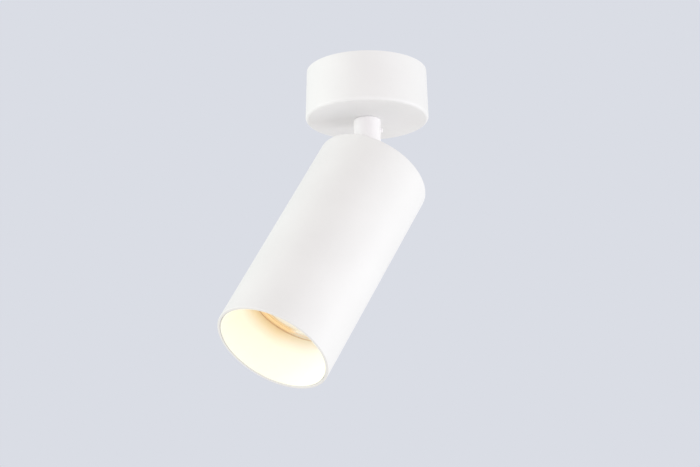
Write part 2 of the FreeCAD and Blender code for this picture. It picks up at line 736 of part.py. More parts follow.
def make_pan_bearing():
    """The bush and stop pin in the canopy, and the washers and nut that turn with the stem."""
    running_r = s.nipple_r + s.run_gap
    bush_r = running_r + s.bush_wall
    bush = new_body("pan_bush")
    turn(bush, [
        (running_r, -s.canopy_height), (bush_r, -s.canopy_height), (bush_r, FLOOR_TOP),
        (s.bush_flange_r, FLOOR_TOP), (s.bush_flange_r, FLOOR_TOP + s.bush_flange),
        (running_r, FLOOR_TOP + s.bush_flange),
    ])
    pin = new_body("pan_stop_pin")
    extrude(pin, "z", FLOOR_TOP - s.stop_pin_seat, FLOOR_TOP + s.stop_pin_height, circle,
            -s.stop_circle_r, ZERO, s.stop_pin_r)

    washer = ring("pan_stop_washer", None, running_r, s.stop_washer_r, STOP_WASHER_LOW, SPRING_WASHER_LOW)
    half_tab = s.stop_tab_width / 2
    extrude(washer, "z", STOP_WASHER_LOW, SPRING_WASHER_LOW, rectangle,
            s.nipple_r + s.bush_wall, s.stop_circle_r + s.stop_pin_r, -half_tab, half_tab)

    spring = ring("pan_spring_washer", None, running_r, s.spring_washer_r, SPRING_WASHER_LOW, NUT_LOW)
    half_split = s.spring_washer_split / 2
    extrude(spring, "z", SPRING_WASHER_LOW, NUT_LOW, rectangle,
            -(s.spring_washer_r + s.spring_washer_split), ZERO, -half_split, half_split, cut=True)

    nut = new_body("pan_lock_nut")
    half_flats = s.nut_flats / 2
    half_side = half_flats * Size(30.0, "30").tangent()
    corner_x = half_side * 2
    extrude(nut, "z", NUT_LOW, NUT_LOW + s.nut_height, polygon, [
        (corner_x, ZERO), (half_side, half_flats), (-half_side, half_flats),
        (-corner_x, ZERO), (-half_side, -half_flats), (half_side, -half_flats),
    ])
    extrude(nut, "z", NUT_LOW, NUT_LOW + s.nut_height, circle, ZERO, ZERO, running_r, cut=True)


# ---------------------------------------------------------------- stem


def make_stem():
    """The nipple through the canopy floor and the round stem, flattened and forked at its end."""
    ring("stem_nipple", STEM_PLACE, s.nipple_bore_r, s.nipple_r, NIPPLE_END, NIPPLE_TOP)

    blank = new_body("stem_blank")
    subparts.remove(blank)
    socket_r = s.nipple_r + s.run_gap
    turn(blank, [
        (s.stem_bore_r, STEM_END), (s.stem_r - s.stem_edge, STEM_END), (s.stem_r, STEM_END + s.stem_edge),
        (s.stem_r, STEM_TOP), (socket_r, STEM_TOP), (socket_r, NIPPLE_END - s.face_gap),
        (s.stem_bore_r, NIPPLE_END - s.face_gap),
    ])
    past_stem = s.stem_r + s.stem_edge
    for side in (1, -1):
        low_y, high_y = (s.stem_flat, past_stem) if side > 0 else (-past_stem, -s.stem_flat)
        extrude(blank, "z", STEM_END - s.face_gap, PIVOT_Z + s.flat_rise, rectangle,
                -past_stem, past_stem, low_y, high_y, cut=True)
    extrude(blank, "z", STEM_END - s.face_gap, PIVOT_Z + s.fork_rise, rectangle,
            ZERO, past_stem, -s.stem_bore_r, s.stem_bore_r, cut=True)
    extrude(blank, "y", -s.stem_flat, s.stem_flat, circle, ZERO, PIVOT_Z,
            s.pivot_screw_r + s.run_gap, cut=True)

    screw_hole = doc.addObject("Part::Cylinder", "set_screw_hole")
    screw_hole.setExpression("Radius", (s.set_screw_r + s.run_gap).formula)
    screw_hole.setExpression("Height", past_stem.formula)
    screw_hole.Placement = FreeCAD.Placement(
        FreeCAD.Vector(0, 0, -(s.canopy_height + s.set_screw_drop).number),
        FreeCAD.Rotation(-s.head_azimuth.number, 90, 0),
    )
    stem = doc.addObject("Part::Cut", "stem")
    stem.Base = blank
    stem.Tool = screw_hole
    stem.Placement = STEM_PLACE
    subparts.append(stem)

    set_screw = new_body("stem_set_screw")
    screw_z = -(s.canopy_height + s.set_screw_drop)
    outer_end = s.stem_r + s.set_screw_stand
    extrude(set_screw, "x", s.nipple_r, outer_end, circle, ZERO, screw_z, s.set_screw_r)
    extrude(set_screw, "x", outer_end - s.socket_depth, outer_end, circle, ZERO, screw_z,
            s.set_socket_r, cut=True)

    for label, offset in (
        ("stem_live_lead", -s.lead_row), ("stem_earth_lead", ZERO), ("stem_neutral_lead", s.lead_row)
    ):
        lead = new_body(label, STEM_PLACE)
        extrude(lead, "z", PIVOT_Z + s.lead_flex_gap, STEM_LEAD_TOP, circle, ZERO, offset, s.lead_r)


def make_pivot_screws():
    """Two screws into the sides of the stem: the head's ears turn on their shanks."""
    body = new_body("pivot_screws", STEM_PLACE)
    head_out = PIVOT_HEAD_IN + s.pivot_head_height
    shank = extrude(body, "y", s.stem_bore_r + s.face_gap, PIVOT_HEAD_IN, circle,
                    ZERO, PIVOT_Z, s.pivot_screw_r)
    head = extrude(body, "y", PIVOT_HEAD_IN, head_out, circle, ZERO, PIVOT_Z, s.pivot_head_r)
    socket = extrude(body, "y", head_out - s.socket_depth, head_out, circle, ZERO, PIVOT_Z,
                     s.pivot_socket_r, cut=True)
    repeat_round(body, [shank, head, socket], 2)


# ---------------------------------------------------------------- head


def make_head_shell():
    """The long tube, with a small radius on its upper rim and a fine one at its mouth."""
    body = new_body("head_shell", HEAD_PLACE)
    turn(body, [
        (SHELL_BORE_R, MOUTH_Z), (s.head_r, MOUTH_Z), (s.head_r, HEAD_TOP), (SHELL_BORE_R, HEAD_TOP),
    ])
    dress_edges(body, "Fillet", s.head_edge_r, lambda edge: is_rim(edge, s.head_r, HEAD_TOP))
    dress_edges(body, "Fillet", s.mouth_edge_r, lambda edge: is_rim(edge, s.head_r, MOUTH_Z))


def make_top_cap():
    """The disc that closes the tube, slotted for the stem's travel."""
    body = new_body("top_cap", HEAD_PLACE)
    extrude(body, "z", CAP_UNDER, CAP_TOP, circle, ZERO, ZERO, SHELL_BORE_R)
    slot_r = s.stem_r + s.slot_gap
    stem_reach = CAP_TOP * s.tilt_limit.tangent() + slot_r / s.tilt_limit.cosine()
    extrude(body, "z", CAP_UNDER, CAP_TOP, slot, ZERO, stem_reach - slot_r, ZERO, slot_r, cut=True)
    for side in (1, -1):
        extrude(body, "z", CAP_UNDER, CAP_TOP, circle, ZERO, CAP_SCREW_Y * side,
                s.small_screw_r + s.screw_gap, cut=True)
        extrude(body, "z", CAP_TOP - s.cap_sheet / 2, CAP_TOP, circle, ZERO, CAP_SCREW_Y * side,
                s.small_head_r + s.screw_gap, cut=True)

    screws = new_body("cap_screws", HEAD_PLACE)
    head_low = CAP_TOP - s.cap_sheet / 2
    head_top = CAP_TOP + s.cap_recess / 2
    shank = extrude(screws, "z", HINGE_UNDER, head_low, circle, ZERO, CAP_SCREW_Y, s.small_screw_r)
    head = extrude(screws, "z", head_low, head_top, circle, ZERO, CAP_SCREW_Y, s.small_head_r)
    socket = extrude(screws, "z", head_top - s.socket_depth, head_top, circle,
                     ZERO, CAP_SCREW_Y, s.socket_r, cut=True)
    repeat_round(screws, [shank, head, socket], 2)

    spacers = new_body("cap_spacers", HEAD_PLACE)
    tube = extrude(spacers, "z", HINGE_TOP, CAP_UNDER, circle, ZERO, CAP_SCREW_Y, s.spacer_r)
    bore = extrude(spacers, "z", HINGE_TOP, CAP_UNDER, circle, ZERO, CAP_SCREW_Y,
                   s.small_screw_r + s.screw_gap, cut=True)
    repeat_round(spacers, [tube, bore], 2)


def make_hinge_bracket():
    """A plate across the head with two ears bent up beside the stem and a tab for the earth screw."""
    body = new_body("hinge_bracket", HEAD_PLACE)
    half_width = s.hinge_width / 2
    corner_r = SHELL_BORE_R - s.hinge_shell_gap
    half_length = (corner_r * corner_r - half_width * half_width).root()
    half_tab = s.hinge_tab_width / 2
    tab_end = -(s.hinge_tab_screw + s.ring_r)
    extrude(body, "z", HINGE_UNDER, HINGE_TOP, polygon, [
        (half_width, -half_length), (half_width, half_length), (-half_width, half_length),
        (-half_width, half_tab), (tab_end, half_tab), (tab_end, -half_tab),
        (-half_width, -half_tab), (-half_width, -half_length),
    ])
    half_ear = s.hinge_ear_width / 2
    for side in (1, -1):
        low_y, high_y = (EAR_IN, EAR_OUT) if side > 0 else (-EAR_OUT, -EAR_IN)
        extrude(body, "z", HINGE_TOP, s.hinge_ear_rise, rectangle, -half_ear, half_ear, low_y, high_y)
        extrude(body, "z", HINGE_UNDER, HINGE_TOP, circle, ZERO, CAP_SCREW_Y * side,
                s.small_screw_r + s.run_gap, cut=True)
        extrude(body, "z", HINGE_UNDER, HINGE_TOP, circle, ZERO, s.holder_screw_offset * side,
                s.small_screw_r + s.run_gap, cut=True)
    half_window = s.hinge_window / 2
    extrude(body, "z", HINGE_UNDER, HINGE_TOP, rectangle,
            -half_window, half_window, -EAR_IN, EAR_IN, cut=True)
    extrude(body, "y", -EAR_OUT, EAR_OUT, circle, ZERO, ZERO, s.pivot_screw_r + s.run_gap, cut=True)
    extrude(body, "z", HINGE_UNDER, HINGE_TOP, circle, -s.hinge_tab_screw, ZERO,
            s.small_screw_r + s.run_gap, cut=True)

    washers = new_body("pivot_washers", HEAD_PLACE)
    washer_out = EAR_OUT + s.pivot_washer_sheet
    disc = extrude(washers, "y", EAR_OUT, washer_out, circle, ZERO, ZERO, s.pivot_head_r)
    hole = extrude(washers, "y", EAR_OUT, washer_out, circle, ZERO, ZERO,
                   s.pivot_screw_r + s.run_gap, cut=True)
    repeat_round(washers, [disc, hole], 2)


def make_head_earth():
    """A ring terminal and its screw on the tab of the hinge bracket."""
    offset = FreeCAD.Placement(
        FreeCAD.Vector(-s.hinge_tab_screw.number, 0, 0), FreeCAD.Rotation(0, 0, 180))
    make_ring_terminal("head_earth_terminal", HEAD_PLACE.multiply(offset), -HINGE_TOP)
    screw = new_body("head_earth_screw", HEAD_PLACE)
    head_low = HINGE_TOP + s.ring_sheet
    head_top = head_low + s.small_head_height
    extrude(screw, "z", HINGE_UNDER, head_low, circle, -s.hinge_tab_screw, ZERO, s.small_screw_r)
    extrude(screw, "z", head_low, head_top, circle, -s.hinge_tab_screw, ZERO, s.small_head_r)
    extrude(screw, "z", head_top - s.socket_depth, head_top, circle,
            -s.hinge_tab_screw, ZERO, s.socket_r, cut=True)


def make_lampholder():
    """The ceramic holder with two curved pin slots, its contacts and its fixing screws."""
    body = new_body("lampholder", HEAD_PLACE)
    turn(body, [
        (ZERO, HOLDER_FACE), (s.holder_r - s.holder_edge, HOLDER_FACE),
        (s.holder_r, HOLDER_FACE + s.holder_edge), (s.holder_r, HINGE_UNDER - s.holder_edge),
        (s.holder_r - s.holder_edge, HINGE_UNDER), (ZERO, HINGE_UNDER),
    ])
    half_slot = s.pin_head_r + s.pin_gap
    for turned in (0, 180):
        flat = new_sketch(body, "y")
        flat.AttachmentOffset = FreeCAD.Placement(
            FreeCAD.Vector(0, 0, 0), FreeCAD.Rotation(FreeCAD.Vector(0, 1, 0), turned))
        rectangle(flat, s.pin_circle_r - half_slot, s.pin_circle_r + half_slot, HOLDER_FACE, CONTACT_TOP)
        groove = body.newObject("PartDesign::Groove", f"pin_slot_{turned}")
        groove.Profile = flat
        groove.ReferenceAxis = (flat, ["V_Axis"])
        groove.setExpression("Angle", s.twist_range.formula)
        groove.Reversed = False
    for side in (1, -1):
        extrude(body, "z", HOLDER_FACE, CONTACT_TOP, circle, s.pin_circle_r * side, ZERO,
                half_slot, cut=True)
        swung_x = s.pin_circle_r * side * s.twist_range.cosine()
        swung_y = -swung_x * s.twist_range.tangent()
        extrude(body, "z", HOLDER_FACE, CONTACT_TOP, circle, swung_x, swung_y, half_slot, cut=True)
        extrude(body, "z", CONTACT_TOP, HINGE_UNDER, circle, s.contact_lead_offset * side,
                s.lead_row * (-side), s.lead_r + s.run_gap, cut=True)
        screw_y = s.holder_screw_offset * side
        extrude(body, "z", HOLDER_FACE, HINGE_UNDER, circle, ZERO, screw_y,
                s.small_screw_r + s.screw_gap, cut=True)
        extrude(body, "z", HOLDER_FACE, HOLDER_FACE + s.holder_recess, circle, ZERO, screw_y,
                s.small_head_r + s.screw_gap, cut=True)

    contacts = new_body("lampholder_contacts", HEAD_PLACE)
    disc = extrude(contacts, "z", CONTACT_LOW, CONTACT_TOP, circle, s.pin_circle_r, ZERO, s.contact_r)
    repeat_round(contacts, [disc], 2)

    screws = new_body("lampholder_screws", HEAD_PLACE)
    head_top = HOLDER_FACE + s.holder_recess
    head_low = head_top - s.small_head_height
    shank = extrude(screws, "z", head_top, HINGE_TOP, circle, ZERO, s.holder_screw_offset, s.small_screw_r)
    head = extrude(screws, "z", head_low, head_top, circle, ZERO, s.holder_screw_offset, s.small_head_r)
    socket = extrude(screws, "z", head_low, head_low + s.socket_depth, circle,
                     ZERO, s.holder_screw_offset, s.socket_r, cut=True)
    repeat_round(screws, [shank, head, socket], 2)


def make_head_leads():
    """Leads from the pivot to the two contacts and to the earth screw of the head."""
    start_z = -s.lead_flex_gap
    for label, side in (("head_live_lead", 1), ("head_neutral_lead", -1)):
        row_y = s.lead_row * (-side)
        contact_x = s.contact_lead_offset * side
        new_lead(label, [
            (ZERO, row_y, start_z), (ZERO, row_y, HINGE_TOP + s.lead_run_in),
            (contact_x, row_y, HINGE_TOP + s.head_lead_stand), (contact_x, row_y, CONTACT_TOP),
        ], HEAD_PLACE)
    barrel_z = HINGE_TOP + s.barrel_r
    barrel_mouth_x = s.ring_r + s.barrel_length - s.hinge_tab_screw
    new_lead("head_earth_lead", [
        (ZERO, ZERO, start_z), (ZERO, ZERO, barrel_z),
        (barrel_mouth_x - s.lead_insert, ZERO, barrel_z),
    ], HEAD_PLACE)


# ---------------------------------------------------------------- lamp


def make_lamp():
    """A reflector lamp with two twist pins, its lens, and the light source on its board."""
    body = new_body("lamp_body", HEAD_PLACE)
    wall = s.lamp_wall
    base_low = LAMP_TOP - s.lamp_base_height
    flare_z = LAMP_TOP - s.lamp_flare_drop
    bezel_z = LAMP_FRONT + s.lamp_bezel_height
    lens_r = LAMP_FRONT_R - s.lamp_bezel_width
    lens_top = LAMP_FRONT + s.lens_recess + s.lens_sheet
    turn(body, [
        (ZERO, LAMP_TOP), (s.lamp_base_r, LAMP_TOP), (s.lamp_base_r, base_low),
        (LAMP_FLARE_R, flare_z), (LAMP_FRONT_R, bezel_z), (LAMP_FRONT_R, LAMP_FRONT),
        (lens_r, LAMP_FRONT), (lens_r, lens_top), (lens_r - wall, lens_top),
        (LAMP_FLARE_R - wall, flare_z), (s.lamp_base_r - wall, base_low),
        (s.lamp_base_r - wall, LAMP_TOP - wall), (ZERO, LAMP_TOP - wall),
    ])
    lens = new_body("lamp_lens", HEAD_PLACE)
    extrude(lens, "z", LAMP_FRONT + s.lens_recess, lens_top, circle, ZERO, ZERO, lens_r - s.run_gap)

    pins = new_body("lamp_pins", HEAD_PLACE)
    shank = extrude(pins, "z", LAMP_TOP, PIN_TIP - s.pin_head, circle, s.pin_circle_r, ZERO, s.pin_r)
    head = extrude(pins, "z", PIN_TIP - s.pin_head, PIN_TIP, circle, s.pin_circle_r, ZERO, s.pin_head_r)
    repeat_round(pins, [shank, head], 2)

    board = new_body("lamp_led_board", HEAD_PLACE)
    board_low = flare_z - s.board_sheet
    extrude(board, "z", board_low, flare_z, circle, ZERO, ZERO, LAMP_FLARE_R - wall - s.run_gap)

    chips = new_body("lamp_leds", HEAD_PLACE)
    half_chip = s.chip_size / 2
    chip = extrude(chips, "z", board_low - s.chip_height, board_low, rectangle,
                   s.chip_circle_r - half_chip, s.chip_circle_r + half_chip, -half_chip, half_chip)
    repeat_round(chips, [chip], 6)


# ---------------------------------------------------------------- reflector


def make_reflector():
    """The pale cone in the mouth, and the three leaf springs that hold it in the tube."""
    body = new_body("reflector", HEAD_PLACE)
    band_z = REFLECTOR_LOW + s.reflector_band
    top_r = APERTURE_R + s.reflector_rim
    turn(body, [
        (REFLECTOR_R - s.reflector_lip, REFLECTOR_LOW), (REFLECTOR_R, REFLECTOR_LOW),
        (REFLECTOR_R, band_z), (top_r, REFLECTOR_TOP), (APERTURE_R, REFLECTOR_TOP),
    ])

    leaves = new_body("reflector_springs", HEAD_PLACE)
    slope = (REFLECTOR_R - top_r) / (REFLECTOR_TOP - band_z)
    root_r = top_r + slope * s.leaf_root_drop
    toe_r = top_r + slope * s.leaf_toe_drop + s.run_gap
    crest_r = SHELL_BORE_R - s.run_gap
    root_z = REFLECTOR_TOP - s.leaf_root_drop
    crest_z = REFLECTOR_TOP - s.leaf_crest_drop
    toe_z = REFLECTOR_TOP - s.leaf_toe_drop
    leaf = turn(leaves, [
        (root_r, root_z), (root_r + s.leaf_sheet, root_z), (crest_r, crest_z),
        (toe_r + s.leaf_sheet, toe_z), (toe_r, toe_z), (crest_r - s.leaf_sheet, crest_z),
    ], sweep=s.leaf_sweep)
    repeat_round(leaves, [leaf], 3)


# ---------------------------------------------------------------- build, check and export

make_mounting_bracket()
make_canopy()
make_canopy_screws()
make_terminal_block()
make_bracket_earth()
make_canopy_leads()
make_pan_bearing()
make_stem()
make_pivot_screws()
make_head_shell()
make_top_cap()
make_hinge_bracket()
make_head_earth()
make_lampholder()
make_head_leads()
make_lamp()
make_reflector()
doc.recompute()


def check_document():
    """Stops if any object failed, any cut removed nothing or any piece is not a sound solid."""
    for made in doc.Objects:
        if "Invalid" in made.State or "Error" in made.State:
            raise RuntimeError(f"{made.Label} failed: {made.State}")
        if made.TypeId in ("PartDesign::Pocket", "PartDesign::Groove"):
            before = made.BaseFeature.Shape.Volume
            if before - made.Shape.Volume < 0.001:
                raise RuntimeError(f"{made.Label} cuts nothing")
    for piece in subparts:
        if piece.Shape.isNull() or not piece.Shape.isValid() or not piece.Shape.Solids:
            raise RuntimeError(f"{piece.Label} is not a sound solid")


check_document()
for piece in subparts:
    piece.Shape.exportStep(f"parts/{piece.Label}.step")
print(len(subparts), "sub-parts,", sum(len(piece.Shape.Solids) for piece in subparts), "solids")
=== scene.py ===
import json
from math import atan2, copysign, cos, pi, radians, sin

import bmesh
import bpy
from mathutils import Matrix, Vector


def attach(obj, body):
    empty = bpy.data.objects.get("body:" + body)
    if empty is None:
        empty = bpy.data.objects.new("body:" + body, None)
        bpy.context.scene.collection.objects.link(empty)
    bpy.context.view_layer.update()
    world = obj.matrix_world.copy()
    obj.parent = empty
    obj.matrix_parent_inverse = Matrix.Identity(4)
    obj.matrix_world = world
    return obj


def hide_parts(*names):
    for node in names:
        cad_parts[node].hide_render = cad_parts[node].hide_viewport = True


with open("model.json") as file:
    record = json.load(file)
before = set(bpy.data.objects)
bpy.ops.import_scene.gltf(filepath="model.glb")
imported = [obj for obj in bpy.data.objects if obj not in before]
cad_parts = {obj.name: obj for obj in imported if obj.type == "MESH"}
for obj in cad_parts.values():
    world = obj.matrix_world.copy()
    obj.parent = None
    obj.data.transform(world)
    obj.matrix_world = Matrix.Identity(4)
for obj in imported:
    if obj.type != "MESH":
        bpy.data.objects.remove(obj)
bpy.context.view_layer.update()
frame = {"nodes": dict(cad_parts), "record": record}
nodes = frame["nodes"]
joints = {joint["name"]: joint for joint in frame["record"]["behaviour"]["joints"]}
slot_of = {part["node"]: part["material_slot"] for part in frame["record"]["subparts"]}
body_of_node = {
    node: body for body, members in frame["record"]["behaviour"]["bodies"].items() for node in members
}

MM = 0.001
WELD = 0.001 * MM
MERGE = 0.0005 * MM
SLIVER = 0.0002 * MM

# ---------------------------------------------------------------- the frames of the lamp's parts

UP = Vector((0, 0, 1))
PIVOT = Vector(joints["head_tilt"]["pos_m"])
BEAM = Vector(joints["reflector_pull"]["axis"]).normalized()
LEAN = Vector((BEAM.x, BEAM.y, 0)).normalized()


def frame_of(x_side, z_side, origin=(0, 0, 0)):
    """A frame at a point, with its X and Z pointing to two given sides."""
    turned = Matrix((x_side, z_side.cross(x_side), z_side)).transposed().to_4x4()
    return Matrix.Translation(origin) @ turned


CANOPY = Matrix.Identity(4)
STEM = frame_of(LEAN, UP)
HEAD = frame_of(UP.cross(LEAN).cross(-BEAM), -BEAM, PIVOT)


def span(points, place):
    """Lowest and highest corner of some points, measured in a frame of their own."""
    inverse = place.inverted()
    local = [inverse @ point for point in points]
    low = Vector([min(point[i] for point in local) for i in range(3)])
    high = Vector([max(point[i] for point in local) for i in range(3)])
    return low, high


def corners_of(node):
    """The points of a CAD node."""
    return [vertex.co.copy() for vertex in nodes[node].data.vertices]


def reaches(points, place):
    """How far each of some points stands from the Z axis of a frame."""
    inverse = place.inverted()
    return [(inverse @ point).xy.length for point in points]


def islands(node):
    """The points of each separate solid of a CAD node."""
    bm = welded_copy(node)
    left = set(bm.verts)
    found = []
    while left:
        seed = left.pop()
        group, front = {seed}, [seed]
        while front:
            for edge in front.pop().link_edges:
                for vertex in edge.verts:
                    if vertex not in group:
                        group.add(vertex)
                        front.append(vertex)
        left -= group
        found.append([vertex.co.copy() for vertex in group])
    bm.free()
    return sorted(found, key=lambda points: tuple(round(sum(p[i] for p in points) / len(points), 5)
                                                  for i in range(3)))


def welded_copy(node):
    """A CAD node's mesh with its doubled points joined."""
    bm = bmesh.new()
    bm.from_mesh(nodes[node].data)
    bmesh.ops.remove_doubles(bm, verts=bm.verts, dist=WELD)
    return bm


# ---------------------------------------------------------------- finishes


class Finish:
    """A procedural material, built up from its noise, colour, gloss and relief."""

    def __init__(self, name, roughness=0.5, metallic=0.0):
        self.material = bpy.data.materials.new(name)
        self.material.use_nodes = True
        self.tree = self.material.node_tree
        self.shader = self.tree.nodes["Principled BSDF"]
        self.shader.inputs["Roughness"].default_value = roughness
        self.shader.inputs["Metallic"].default_value = metallic
        self.place = self.tree.nodes.new("ShaderNodeTexCoord").outputs["Object"]
        self.relief = None

    def node(self, kind, **settings):
        made = self.tree.nodes.new("ShaderNode" + kind)
        for name, value in settings.items():
            setattr(made, name, value)
        return made

    def link(self, source, target):
        self.tree.links.new(source, target)
        return target

    def noise(self, scale, detail=2.0, place=None):
        made = self.node("TexNoise")
        made.inputs["Scale"].default_value = scale
        made.inputs["Detail"].default_value = detail
        self.link(place or self.place, made.inputs["Vector"])
        return made.outputs["Fac"]

    def ramp(self, factor, *stops):
        made = self.node("ValToRGB")
        while len(made.color_ramp.elements) < len(stops):
            made.color_ramp.elements.new(0.5)
        for element, (position, colour) in zip(made.color_ramp.elements, stops):
            element.position = position
            element.color = (*colour, 1.0)
        self.link(factor, made.inputs["Fac"])
        return made.outputs["Color"]

    def range(self, factor, low, high, to_low, to_high):
        """Turns values between low and high into values between two others."""
        made = self.node("MapRange")
        for name, value in (("From Min", low), ("From Max", high), ("To Min", to_low), ("To Max", to_high)):
            made.inputs[name].default_value = value
        self.link(factor, made.inputs["Value"])
        return made.outputs["Result"]

    def math(self, operation, first, second=None):
        made = self.node("Math", operation=operation)
        for socket, value in zip(made.inputs, (first, second)):
            if isinstance(value, (int, float)):
                socket.default_value = value
            elif value is not None:
                self.link(value, socket)
        return made.outputs[0]

    def mix(self, factor, first, second):
        """Blends two colours, each given as numbers or as a socket."""
        made = self.node("Mix", data_type="RGBA")
        self.link(factor, made.inputs["Factor"])
        for name, value in (("A", first), ("B", second)):
            socket = next(entry for entry in made.inputs if entry.name == name and entry.type == "RGBA")
            if isinstance(value, tuple):
                socket.default_value = (*value, 1.0)
            else:
                self.link(value, socket)
        return next(entry for entry in made.outputs if entry.type == "RGBA")

    def from_axis(self, x, y):
        """Distance from a frame's Z axis."""
        return self.math("SQRT", self.math("ADD", self.math("MULTIPLY", x, x), self.math("MULTIPLY", y, y)))

    def local(self, place):
        """Coordinates measured in one of the frames of the lamp."""
        made = self.node("Mapping", vector_type="TEXTURE")
        made.inputs["Location"].default_value = place.to_translation()
        made.inputs["Rotation"].default_value = place.to_euler()
        self.link(self.place, made.inputs["Vector"])
        return made.outputs["Vector"]

    def split(self, vector):
        made = self.node("SeparateXYZ")
        self.link(vector, made.inputs[0])
        return made.outputs

    def colour(self, source):
        self.link(source, self.shader.inputs["Base Color"])

    def gloss(self, factor, low, high):
        """Roughness that follows a noise between two values."""
        self.link(self.range(factor, 0.3, 0.7, low, high), self.shader.inputs["Roughness"])

    def bump(self, height, depth, strength):
        """Adds a relief on top of the ones before it."""
        made = self.node("Bump")
        made.inputs["Distance"].default_value = depth
        made.inputs["Strength"].default_value = strength
        self.link(height, made.inputs["Height"])
        if self.relief is not None:
            self.link(self.relief, made.inputs["Normal"])
        self.relief = made.outputs["Normal"]
        self.link(self.relief, self.shader.inputs["Normal"])


def powder_coat(name, warm, cool, edge=None, rim_shade_z=0.0):
    """Fine matt powder coat: an orange peel of about 2 mm under a grain of about 0.3 mm.

    Where an edge colour is given, the coat shows it below a height in the head's frame: painted shade and
    warm lamplight on the mouth's rim.
    """
    finish = Finish(name)
    coat = finish.ramp(finish.noise(38.0, 3.0), (0.35, warm), (0.65, cool))
    if edge:
        # Below this height the rim's painted shade and lamplight replace the coat.
        height = finish.split(finish.local(HEAD))[2]
        coat = finish.mix(finish.range(height, rim_shade_z + 0.05 * MM, rim_shade_z + 0.2 * MM, 1.0, 0.0), coat, edge)
    finish.colour(coat)
    finish.gloss(finish.noise(700.0, 2.0), 0.46, 0.58)
    finish.bump(finish.noise(520.0, 2.0), 0.05 * MM, 0.35)
    finish.bump(finish.noise(3200.0, 1.0), 0.015 * MM, 0.35)
    return finish.material


def plated_steel(name, dark, light, roughness=0.34):
    """Bright plate with a cloudy passivation and fine drawing lines."""
    finish = Finish(name, metallic=1.0)
    cloud = finish.noise(420.0, 4.0)
    finish.colour(finish.ramp(cloud, (0.3, dark), (0.7, light)))
    stretched = finish.node("Mapping")
    stretched.inputs["Scale"].default_value = (400.0, 6000.0, 400.0)
    finish.link(finish.place, stretched.inputs["Vector"])
    lines = finish.noise(1.0, 3.0, stretched.outputs["Vector"])
    finish.gloss(lines, roughness - 0.06, roughness + 0.12)
    finish.bump(lines, 0.01 * MM, 0.3)
    return finish.material


def moulding(name, shade, light, roughness, grain=1600.0):
    """Moulded plastic or rubber with a slight cloud in its colour and a fine spark grain."""
    finish = Finish(name)
    finish.colour(finish.ramp(finish.noise(150.0, 3.0), (0.3, shade), (0.7, light)))
    finish.gloss(finish.noise(900.0), roughness - 0.06, roughness + 0.08)
    finish.bump(finish.noise(grain, 2.0), 0.02 * MM, 0.3)
    return finish.material


def striped_insulation(name, slant, green, yellow):
    """Earth lead: green insulation with slanting yellow stripes."""
    finish = Finish(name)
    along = finish.node("VectorMath", operation="DOT_PRODUCT")
    along.inputs[1].default_value = slant
    finish.link(finish.place, along.inputs[0])
    wave = finish.math("SINE", along.outputs["Value"])
    finish.colour(finish.ramp(wave, (0.12, green), (0.16, yellow)))
    finish.gloss(finish.noise(900.0), 0.38, 0.5)
    finish.bump(finish.noise(2400.0), 0.01 * MM, 0.3)
    return finish.material


def speckled_ceramic(name, shade, light):
    """Unglazed steatite with faint iron specks."""
    finish = Finish(name)
    finish.colour(finish.ramp(finish.noise(1900.0, 4.0), (0.28, shade), (0.36, light)))
    finish.gloss(finish.noise(500.0), 0.62, 0.78)
    finish.bump(finish.noise(2600.0, 3.0), 0.03 * MM, 0.4)
    return finish.material


# Painted light (glow, as emission) and painted shade (amber tint, in the base colour) along the cone, from
# the mouth to the lamp, and over the lens, from its middle to its rim.
# The side that daylight reaches past the mouth has tables of its own.
CONE_GLOW = (
    (0.0, (0.21, 0.22, 0.13)), (0.40, (0.22, 0.22, 0.10)), (0.62, (0.22, 0.18, 0.09)),
    (0.72, (0.20, 0.13, 0.07)), (0.80, (0.15, 0.105, 0.04)), (0.90, (0.12, 0.09, 0.015)),
    (0.974, (0.09, 0.06, 0.015)), (0.982, (0.0, 0.0, 0.0)),
)
CONE_GLOW_BY_DAY = (
    (0.0, (0.21, 0.22, 0.12)), (0.45, (0.22, 0.22, 0.14)), (0.70, (0.22, 0.21, 0.17)),
    (0.80, (0.15, 0.15, 0.16)), (0.974, (0.08, 0.13, 0.12)), (0.982, (0.0, 0.0, 0.0)),
)
CONE_TINT = (
    (0.0, (0.90, 0.90, 0.88)), (0.65, (0.90, 0.89, 0.86)), (0.80, (0.88, 0.82, 0.72)),
    (0.974, (0.80, 0.62, 0.42)), (0.982, (0.74, 0.52, 0.30)),
)
CONE_TINT_BY_DAY = (
    (0.0, (0.90, 0.90, 0.88)), (0.65, (0.90, 0.89, 0.87)), (0.80, (0.88, 0.86, 0.82)),
    (0.974, (0.84, 0.76, 0.66)), (0.982, (0.80, 0.66, 0.50)),
)
# Painted warm shade on the reflector's lip, where it sits back from the shell's rim.
LIP_SHADE_COLOUR = (0.90, 0.87, 0.80)
LENS_CREAM = (0.215, 0.225, 0.22)
LENS_GLOW_BY_DAY = ((0.0, (0.60, 0.54, 0.42)), (0.5, (0.48, 0.43, 0.34)), (0.76, LENS_CREAM))
LENS_GLOW = LENS_GLOW_BY_DAY + (
    (0.87, LENS_CREAM), (0.925, (0.17, 0.12, 0.06)), (0.955, (0.24, 0.17, 0.06)), (1.0, (0.24, 0.16, 0.05)),
)
LENS_TINT = (
    (0.0, (0.80, 0.76, 0.66)), (0.87, (0.80, 0.75, 0.64)), (0.925, (0.72, 0.60, 0.43)),
    (0.955, (0.78, 0.63, 0.43)),
)
BEZEL_GLOW = ((0.36, 0.26, 0.13), (0.66, 0.44, 0.22))
BEZEL_GLOW_BY_DAY = (LENS_CREAM, (0.56, 0.50, 0.40))
# Painted shade on the mouth's end face, warmed by painted light from the lamp.
RIM_SHADE_AND_LAMPLIGHT = (0.845, 0.835, 0.81)
BEZEL_WIDTH = 2.0 * MM
BEZEL_DEPTH = 1.8 * MM
LENS_DAY_FROM, LENS_DAY_FULL = 0.5, 0.64


def daylight_side(finish, x, near, far):
    """1 on the side of the cavity that daylight reaches past the mouth, 0 on the other."""
    return finish.range(x, -near, -far, 0.0, 1.0)


